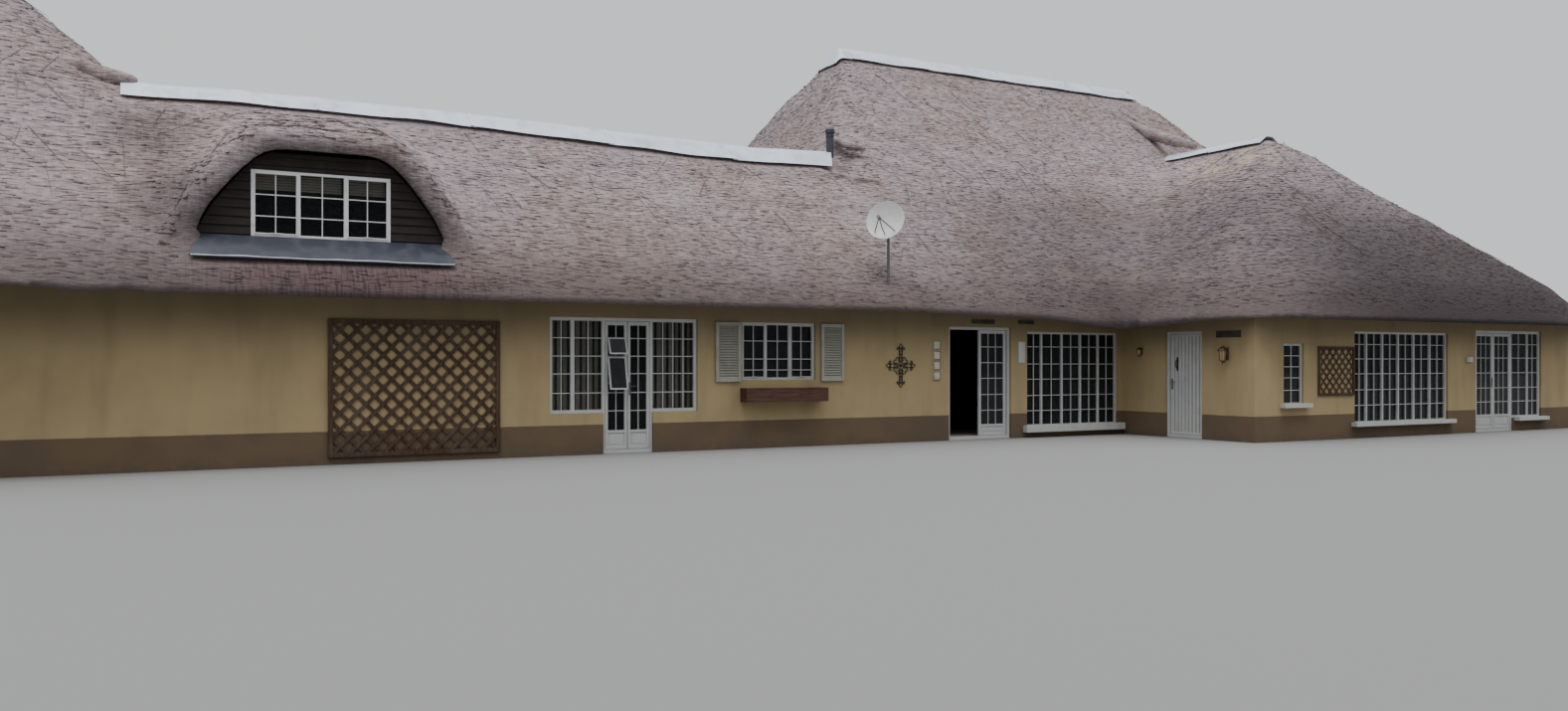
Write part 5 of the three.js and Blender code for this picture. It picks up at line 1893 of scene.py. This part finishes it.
@dataclass
class ThatchRoofs:
    """The thatch as one swept coat with loose reed ends on it.

    Quiet places keep the solid's form, and sunk ones lie deeper. Heights are above the ground.
    """

    nodes: Sequence[str] = ("left_wing_thatch", "main_thatch", "tall_thatch", "right_wing_thatch")
    metals: Sequence[str] = (
        "left_wing_ridge_cap", "main_ridge_cap", "tall_ridge_cap", "right_wing_ridge_cap", "dormer_apron",
        "flue_pipe",
    )
    quiet: Sequence[tuple[Vector, float]] = (
        (at(13.75, 6.0, 8.1), 0.55), (at(11.45, -0.30, 2.80), 0.05),
    )
    sunk: Sequence[tuple[Vector, float, float]] = (
        (at(12.36, 2.55, 5.60), 0.42, 0.16), (at(12.0, 2.35, 5.35), 0.35, 0.08),
    )
    voxel: float = 0.135
    sweeps: int = 110
    eave_passes: int = 34
    soft_top: float = 3.05
    eave_top: float = 2.62
    droop_from: float = 2.95
    droop_full: float = 2.40
    soffit: float = 2.378
    rough_from: float = 2.75
    rough_full: float = 2.45
    reed_foot: float = 2.44
    density: float = 92.0
    loose: float = 1.1

    def build(self) -> None:
        """Makes the coat and scatters the reed over it."""
        coat = self.raw_coat()
        self.sweep(coat)
        self.weather(coat)
        self.mark(coat)
        ledge = self.ledge()
        loose = self.loose_reed()
        for name in self.nodes:
            layers = (
                ReedGraph(ledge, f"reed_{name}", self.density, 0.055, (0.10, 0.07, 0.20), 3),
                ReedGraph(loose, f"loose_{name}", self.loose, 0.30, (0.0, 0.02, 0.65), 7),
            )
            fix(join(name + "_reed", [self.scatter(coat, layer, name) for layer in layers]), REED)
        discard(ledge, loose)
        self.rolls()
        for name in ("flow", *(f"{kind}_{node}" for kind in ("reed", "loose") for node in self.nodes)):
            coat.data.attributes.remove(coat.data.attributes[name])
        fix(coat, COAT, self.nodes)

    def rolls(self) -> None:
        """Rolled edges of reed where one roof ends over the next."""
        for name, path, radii in (
            (
                "roll_over_main_left",
                (
                    (-1.30, 3.30, 5.90), (-0.60, 3.00, 5.735), (-0.23, 2.93, 5.60), (0.05, 2.90, 5.56),
                    (0.13, 2.90, 5.55),
                ),
                (0.10, 0.16, 0.17, 0.14, 0.10),
            ),
            (
                "roll_beside_flue",
                ((12.50, 3.40, 6.02), (12.48, 2.95, 5.82), (12.56, 2.66, 5.70), (12.80, 2.52, 5.66)),
                (0.04, 0.09, 0.09, 0.03),
            ),
            (
                "roll_over_wing",
                ((22.1, 4.9, 7.60), (22.25, 4.1, 7.10), (22.32, 3.3, 6.78), (22.32, 2.7, 6.58)),
                (0.06, 0.15, 0.14, 0.07),
            ),
        ):
            steps = [tuple(at(*self.along(path, index / 24))) for index in range(25)]
            roll = self.melt(model_sweep(name, [steps], radii, 5), 0.03)
            for vertex in roll.data.vertices:
                ripple = noise.noise(vertex.co * 3.0) * 0.03 + noise.noise(vertex.co * 11.0) * 0.012
                vertex.co += vertex.normal * ripple
            modify(roll, "SMOOTH", factor=0.5, iterations=4)
            fix(roll, COAT)

    def along(self, path: Sequence[Vec3], share: float) -> Vector:
        """A point on a path of straight steps."""
        place = share * (len(path) - 1)
        index = min(int(place), len(path) - 2)
        return Vector(path[index]).lerp(Vector(path[index + 1]), place - index)

    def melt(self, piece: Thing, voxel: float) -> Thing:
        """Melts a piece into one smooth skin."""
        modify(piece, "REMESH", mode="VOXEL", voxel_size=voxel)
        for polygon in piece.data.polygons:
            polygon.use_smooth = True
        return piece

    def raw_coat(self) -> Thing:
        """The four thatches melted into one skin."""
        copies = [clone(solid_of(name), name + "_copy") for name in self.nodes]
        return self.melt(join("thatch_coat", copies), self.voxel)

    def arrays(self, coat: Thing) -> tuple[np.ndarray, np.ndarray, np.ndarray]:
        """Places, normals and edges of the skin."""
        mesh = coat.data
        places = np.zeros(len(mesh.vertices) * 3)
        mesh.vertices.foreach_get("co", places)
        normals = np.zeros(len(mesh.vertices) * 3)
        mesh.vertices.foreach_get("normal", normals)
        edges = np.zeros(len(mesh.edges) * 2, dtype=np.int64)
        mesh.edges.foreach_get("vertices", edges)
        return places.reshape(-1, 3), normals.reshape(-1, 3), edges.reshape(-1, 2)

    def put(self, coat: Thing, places: np.ndarray) -> None:
        """Writes places back to the skin."""
        coat.data.vertices.foreach_set("co", places.ravel())
        coat.data.update()

    def pull(self, places: np.ndarray, edges: np.ndarray, count: np.ndarray) -> np.ndarray:
        """The way from each place to the middle of its neighbours.

        Args:
            places: the places.
            edges: pairs of neighbours.
            count: how many neighbours each place has.

        Returns:
            A shift for each place.
        """
        total = np.zeros_like(places)
        for axis in range(3):
            total[:, axis] = (
                np.bincount(edges[:, 0], places[edges[:, 1], axis], len(places))
                + np.bincount(edges[:, 1], places[edges[:, 0], axis], len(places))
            )
        return total / count - places

    def sweep(self, coat: Thing) -> None:
        """Fills the creases between roofs, as a thatcher packs a valley, and lets the eaves hang."""
        places, normals, edges = self.arrays(coat)
        x, y, z = (places - np.array(MEASURED_FROM)).T
        mouth = (x > 0.5) & (x < 4.3) & (y > -0.45) & (y < 0.30) & (z < 4.35)
        free = (normals[:, 2] > 0.15) & ~mouth & (self.metal_gaps(places, 0.75) > 0.42)
        soft = ((z < self.soft_top) & (normals[:, 2] > -0.2) & ~mouth)[:, None]
        count = np.bincount(edges.ravel(), minlength=len(places))[:, None]
        for _ in range(self.sweeps):
            out = np.sum(self.pull(places, edges, count) * normals, axis=1)
            lift = np.where(free & (out > 0), out, 0.0)
            places = places + normals * lift[:, None] * 0.9
        for _ in range(self.eave_passes):
            places = np.where(soft, places + self.pull(places, edges, count) * 0.5, places)
        self.put(coat, places)
        modify(coat, "SMOOTH", factor=0.5, iterations=2)
        eaves = coat.vertex_groups.new(name="eaves")
        near = [vertex.index for vertex in coat.data.vertices if vertex.co.z < self.eave_top]
        eaves.add(near, 1.0, "REPLACE")
        modify(coat, "SMOOTH", factor=0.5, iterations=5, vertex_group="eaves")
        coat.vertex_groups.clear()
        for vertex in coat.data.vertices:
            share = share_of(vertex.co.z, self.droop_from, self.droop_full)
            drop = share * self.droop(vertex.co - MEASURED_FROM)
            vertex.co.z = max(vertex.co.z, self.soffit) - drop

    def droop(self, place: Vector) -> float:
        """How far the thatch hangs down past the straight eave: most in the corner of the two roofs."""
        right = share_of(place.x, 12.0, 16.0)
        corner = max(0.0, 1.0 - math.hypot(place.x - 16.9, place.y + 0.7) / 2.4)
        return 0.10 + 0.10 * right + 0.13 * corner * corner * (3.0 - 2.0 * corner)

    def trees(self, names: Sequence[str]) -> list[BVHTree]:
        """Solids made ready for a search of their nearest points."""
        depsgraph = bpy.context.evaluated_depsgraph_get()
        return [BVHTree.FromObject(solid_of(name), depsgraph) for name in names]

    def metal_gaps(self, places: np.ndarray, most: float) -> np.ndarray:
        """How far each place lies from metal, up to a limit."""
        trees = self.trees(self.metals)
        gaps = np.full(len(places), most)
        for index, place in enumerate(places):
            point = Vector(place)
            gaps[index] = min(most, *(tree.find_nearest(point, most)[3] or most for tree in trees))
        return gaps

    def weather(self, coat: Thing) -> None:
        """Long hollows and short bumps on the outer face, none beside metal."""
        places, normals, _ = self.arrays(coat)
        gaps = self.metal_gaps(places, 0.6)
        shift = np.zeros(len(places))
        for index, (place, normal) in enumerate(zip(places, normals)):
            if normal[2] < -0.25:
                continue
            point = Vector(place)
            wide = noise.noise(point * 0.75) * 0.045 + noise.noise(point * 1.9 + Vector((7, 1, 3))) * 0.020
            fine = noise.noise(point * 5.0) * 0.012
            near = min(gaps[index], *((point - spot).length - reach for spot, reach in self.quiet))
            calm = share_of(near, 0.12, 0.52)
            shift[index] = (wide + fine) * calm - 0.040 * (1.0 - calm)
            for centre, reach, depth in self.sunk:
                share = min(1.0, (point - centre).length / reach)
                shift[index] -= depth * (1.0 - share * share) ** 2
            if point.z < self.rough_from:
                ragged = noise.noise(Vector((point.x * 4.5, point.y * 4.5, point.z * 2.0))) * 0.012
                shift[index] = shift[index] * share_of(point.z, self.rough_full, self.rough_from) + ragged
        self.put(coat, places + normals * shift[:, None])

    def mark(self, coat: Thing) -> None:
        """Stores the way that water runs and where reed stands, for each roof."""
        places, normals, _ = self.arrays(coat)
        down = np.array([0.0, 0.0, -1.0])
        flow = down - normals * (normals @ down)[:, None]
        flow[np.linalg.norm(flow, axis=1) < 0.08] = np.array([0.0, -1.0, -0.3])
        flow = flow / np.maximum(np.linalg.norm(flow, axis=1), 1e-6)[:, None]
        stored = coat.data.attributes.new("flow", "FLOAT_VECTOR", "POINT")
        stored.data.foreach_set("vector", flow.ravel())
        side = np.abs(normals[:, 0]) / np.maximum(np.abs(normals[:, 0]) + np.abs(normals[:, 1]), 1e-6)
        self.store(coat, "side", np.clip((side - 0.35) / 0.3, 0.0, 1.0))
        owner = self.owners(places, normals)
        x, y, z = (places - np.array(MEASURED_FROM)).T
        rim = (np.abs(x - 2.4) < 2.3) & (y < 0.7) & (normals[:, 2] < 0.30)
        high = (z > 3.4) & (normals[:, 2] > 0.45)
        for index, name in enumerate(self.nodes):
            for kind, where in (("reed", ~rim), ("loose", high & ~rim)):
                self.store(coat, f"{kind}_{name}", (owner == index) & where)

    def store(self, coat: Thing, name: str, values: np.ndarray) -> None:
        """Stores one number for each point of the skin."""
        stored = coat.data.attributes.new(name, "FLOAT", "POINT")
        stored.data.foreach_set("value", values.astype(np.float32))

    def owners(self, places: np.ndarray, normals: np.ndarray) -> np.ndarray:
        """Which roof each place belongs to.

        Args:
            places: places on the skin.
            normals: the way that the skin faces there.

        Returns:
            The number of a roof for each place, or -1 where no reed stands.
        """
        roofs, metals = self.trees(self.nodes), self.trees(self.metals)
        owner = np.full(len(places), -1)
        for index, (place, normal) in enumerate(zip(places, normals)):
            if normal[2] < 0.12 or place[2] < self.reed_foot:
                continue
            point = Vector(place)
            if any(tree.find_nearest(point, 0.10)[3] is not None for tree in metals):
                continue
            gaps = [tree.find_nearest(point, 3.0)[3] for tree in roofs]
            owner[index] = min(range(len(gaps)), key=lambda i: 9.0 if gaps[i] is None else gaps[i])
        return owner

    def ledge(self) -> Thing:
        """A short level ledge of worn reed ends: flush above, with a broken lower edge."""
        deselect()
        bpy.ops.mesh.primitive_cylinder_add(
            vertices=3, radius=1.0, depth=1.0, rotation=(0, math.radians(90), 0),
        )
        piece = bpy.context.object
        bpy.ops.object.transform_apply()
        corners = ((-0.030, -0.005), (0.026, -0.008), (0.030, 0.011))
        order = sorted({round(math.atan2(v.co.z, v.co.y), 3) for v in piece.data.vertices})
        for vertex in piece.data.vertices:
            y, z = corners[order.index(round(math.atan2(vertex.co.z, vertex.co.y), 3))]
            end = 0.55 if vertex.co.x > 0 else 0.75
            vertex.co = (vertex.co.x * 0.17, y * end, -0.008 + (z + 0.008) * end)
        tidy_normals(piece)
        return join("reed_ledge", [piece])

    def loose_reed(self) -> Thing:
        """One long reed that has slipped out of the thatch."""
        deselect()
        bpy.ops.mesh.primitive_cone_add(
            vertices=4, radius1=0.0065, radius2=0.003, depth=0.85, location=(0, 0, 0.008),
            rotation=(math.radians(-89.2), 0, 0),
        )
        bpy.ops.object.transform_apply()
        return join("loose_reed", [bpy.context.object])

    def scatter(self, coat: Thing, graph: "ReedGraph", node: str) -> Thing:
        """Spreads reed over one roof and makes it one piece.

        Args:
            coat: the skin that carries the marks.
            graph: what is spread, and how.
            node: the roof.

        Returns:
            The reed of that roof.
        """
        reed = coat.copy()
        reed.data = coat.data.copy()
        reed.name = node + "_reed"
        bpy.context.scene.collection.objects.link(reed)
        modify(reed, "NODES", node_group=graph.tree)
        reed.data.materials.clear()
        return reed


# Reed spread over the thatch


@dataclass
class ReedGraph(Wiring):
    """Geometry nodes that set reed on a skin, turned down the slope."""

    tuft: Thing
    mark: str
    density: float
    apart: float
    sway: Vec3
    seed: int
    smallest: Vec3 = (0.55, 0.8, 0.6)
    largest: Vec3 = (1.45, 1.3, 1.35)

    def __post_init__(self) -> None:
        """Builds the node tree."""
        super().__init__(bpy.data.node_groups.new("reed_scatter", "GeometryNodeTree"))
        for way in ("INPUT", "OUTPUT"):
            self.tree.interface.new_socket("Geometry", in_out=way, socket_type="NodeSocketGeometry")
        spread = self.node("GeometryNodeDistributePointsOnFaces", {
            "Mesh": self.node("NodeGroupInput").outputs[0],
            "Density Factor": self.attribute("FLOAT", self.mark),
            "Distance Min": self.apart,
            "Density Max": self.density,
            "Seed": self.seed,
        }, distribute_method="POISSON")
        aim = self.node("FunctionNodeAxesToRotation", {
            0: spread.outputs["Normal"], 1: self.attribute("FLOAT_VECTOR", "flow"),
        }, primary_axis="Z", secondary_axis="Y")
        sway = self.random("FLOAT_VECTOR", tuple(-s for s in self.sway), self.sway, 1)
        bend = self.node("FunctionNodeEulerToRotation", {0: sway})
        turned = self.node("FunctionNodeRotateRotation", {
            0: aim.outputs[0], 1: bend.outputs[0],
        }, rotation_space="LOCAL")
        copies = self.node("GeometryNodeInstanceOnPoints", {
            "Points": spread.outputs["Points"],
            "Instance": self.node("GeometryNodeObjectInfo", {"Object": self.tuft}).outputs["Geometry"],
            "Rotation": turned.outputs[0],
            "Scale": self.random("FLOAT_VECTOR", self.smallest, self.largest, 2),
        })
        real = self.node("GeometryNodeRealizeInstances", {0: copies.outputs[0]})
        island = self.node("GeometryNodeInputMeshIsland").outputs["Island Index"]
        store = self.node("GeometryNodeStoreNamedAttribute", data_type="FLOAT", domain="POINT", feeds={
            "Geometry": real.outputs[0],
            "Name": "shade",
            "Value": self.random("FLOAT", 0.0, 1.0, 3, island),
        })
        self.node("NodeGroupOutput", {0: store.outputs[0]})

    def attribute(self, kind: str, name: str) -> Socket:
        """A stored attribute of the skin."""
        node = self.node("GeometryNodeInputNamedAttribute", {"Name": name}, data_type=kind)
        return node.outputs["Attribute"]

    def random(self, kind: str, low: Any, high: Any, seed: int, by: Optional[Socket] = None) -> Socket:
        """A random value or vector for each point, or for each number given.

        Args:
            kind: Blender's name for the kind of value.
            low: the least value.
            high: the greatest value.
            seed: sets this draw apart from the others.
            by: a number that takes the place of the point's own.

        Returns:
            The socket of the value.
        """
        node = self.node("FunctionNodeRandomValue", data_type=kind)
        pins = {pin.name: pin for pin in node.inputs if pin.enabled}
        values = {"Min": low, "Max": high, "Seed": seed + 10 * self.seed}
        if by is not None:
            values["ID"] = by
        for name, value in values.items():
            self.feed(value, pins[name])
        return next(pin for pin in node.outputs if pin.enabled)


@dataclass
class Studio:
    """A pale floor, soft daylight and the camera at the viewer's place."""

    floor_size: float = 260.0
    floor_grey: float = 0.22
    horizon: float = 0.20
    zenith: float = 1.80
    backdrop: float = 0.85
    sun_strength: float = 2.0
    sun_spread: float = 35.0
    sun_turn: Vec3 = (16.0, 0.0, -40.0)
    eye: Vec3 = (0.0, -17.25, 1.40)
    turn: float = -29.0
    lens: float = 27.17
    rise: float = 0.0048

    def build(self) -> None:
        """Builds floor, world, lamp and camera."""
        self.floor()
        self.sky()
        self.sun()
        self.look()

    def floor(self) -> None:
        """A plain matt grey floor."""
        deselect()
        bpy.ops.mesh.primitive_plane_add(size=self.floor_size, location=(0, 0, -0.002))
        floor = bpy.context.object
        floor.name = "studio_floor"
        g = Graph("studio_floor_grey")
        tone = g.tint((self.floor_grey,) * 3, g.noise(0.6, 2.0), 0.04, (self.floor_grey * 0.9,) * 3)
        g.set(Base_Color=tone, Roughness=0.95)
        floor.data.materials.append(g.material)

    def sky(self) -> None:
        """An overcast sky, brightest overhead and dim near the horizon, seen as a plain pale grey."""
        world = bpy.data.worlds.new("studio_sky")
        world.use_nodes = True
        wiring = Wiring(world.node_tree)
        place = wiring.node("ShaderNodeTexCoord").outputs["Generated"]
        height = wiring.node("ShaderNodeSeparateXYZ", {0: place}).outputs["Z"]
        glow = wiring.node("ShaderNodeMapRange", {
            "Value": height, "From Min": 0.05, "From Max": 1.0, "To Min": self.horizon, "To Max": self.zenith,
        }, interpolation_type="SMOOTHSTEP")
        seen = wiring.node("ShaderNodeLightPath").outputs["Is Camera Ray"]
        strength = wiring.node("ShaderNodeMix", {0: seen, 2: glow.outputs[0], 3: self.backdrop})
        back = world.node_tree.nodes["Background"]
        wiring.feed((0.96, 0.98, 1.0), back.inputs["Color"])
        wiring.feed(strength.outputs[0], back.inputs["Strength"])
        bpy.context.scene.world = world

    def sun(self) -> None:
        """A sun lamp with a wide disc, so that its shadows are soft."""
        lamp = bpy.data.lights.new("soft_key", "SUN")
        lamp.energy = self.sun_strength
        lamp.angle = math.radians(self.sun_spread)
        lamp.color = (1.0, 0.985, 0.96)
        holder = bpy.data.objects.new("soft_key", lamp)
        holder.rotation_euler = tuple(math.radians(turn) for turn in self.sun_turn)
        bpy.context.scene.collection.objects.link(holder)

    def look(self) -> None:
        """Sets the camera."""
        camera = bpy.data.cameras.new("viewer")
        camera.sensor_width = 36.0
        camera.lens = self.lens
        camera.shift_y = self.rise
        camera.clip_end = 500.0
        holder = bpy.data.objects.new("viewer", camera)
        holder.location = at(*self.eye)
        holder.rotation_euler = (math.radians(90), 0, math.radians(self.turn))
        bpy.context.scene.collection.objects.link(holder)
        bpy.context.scene.camera = holder


@dataclass
class Carcass:
    """Walls, lintels, floors and sheet glass, which keep their solids."""

    clear: str = "dormer_window_glass"

    def build(self) -> None:
        """Gives each solid that stays its finish."""
        for name in FRAME["nodes"]:
            if ("wall" in name and "lantern" not in name) or name.endswith("lintel"):
                dress(name, PLASTER)
            elif name.endswith("_glass"):
                dress(name, CLEAR if name == self.clear else GLASS)
        dress("ground_floor", FLOOR)
        dress("loft_floor", JOISTS)


def main() -> None:
    """Builds the cottage over its frame."""
    logging.basicConfig(level=logging.INFO, format="%(name)s: %(message)s")
    FRAME.update(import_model())
    for part in (
        Studio(),
        Carcass(),
        ThatchRoofs(),
        RidgeCaps(),
        DormerFront(),
        Joinery(),
        Shutter("shutter_left", hinges_left=True),
        Shutter("shutter_right", hinges_left=False),
        WindowBox(),
        Trellis("trellis_left", 0.230, 0.050, 0.060),
        Trellis("trellis_right", 0.180, 0.035, 0.045),
        IronCross(),
        Lantern("wall_lantern_small", 0.75),
        Lantern("wall_lantern_large", 1.25, tail=True),
        Dish(),
        Flue(),
        WallFittings(),
    ):
        part.build()
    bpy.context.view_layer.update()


if __name__ == "__main__":
    main()
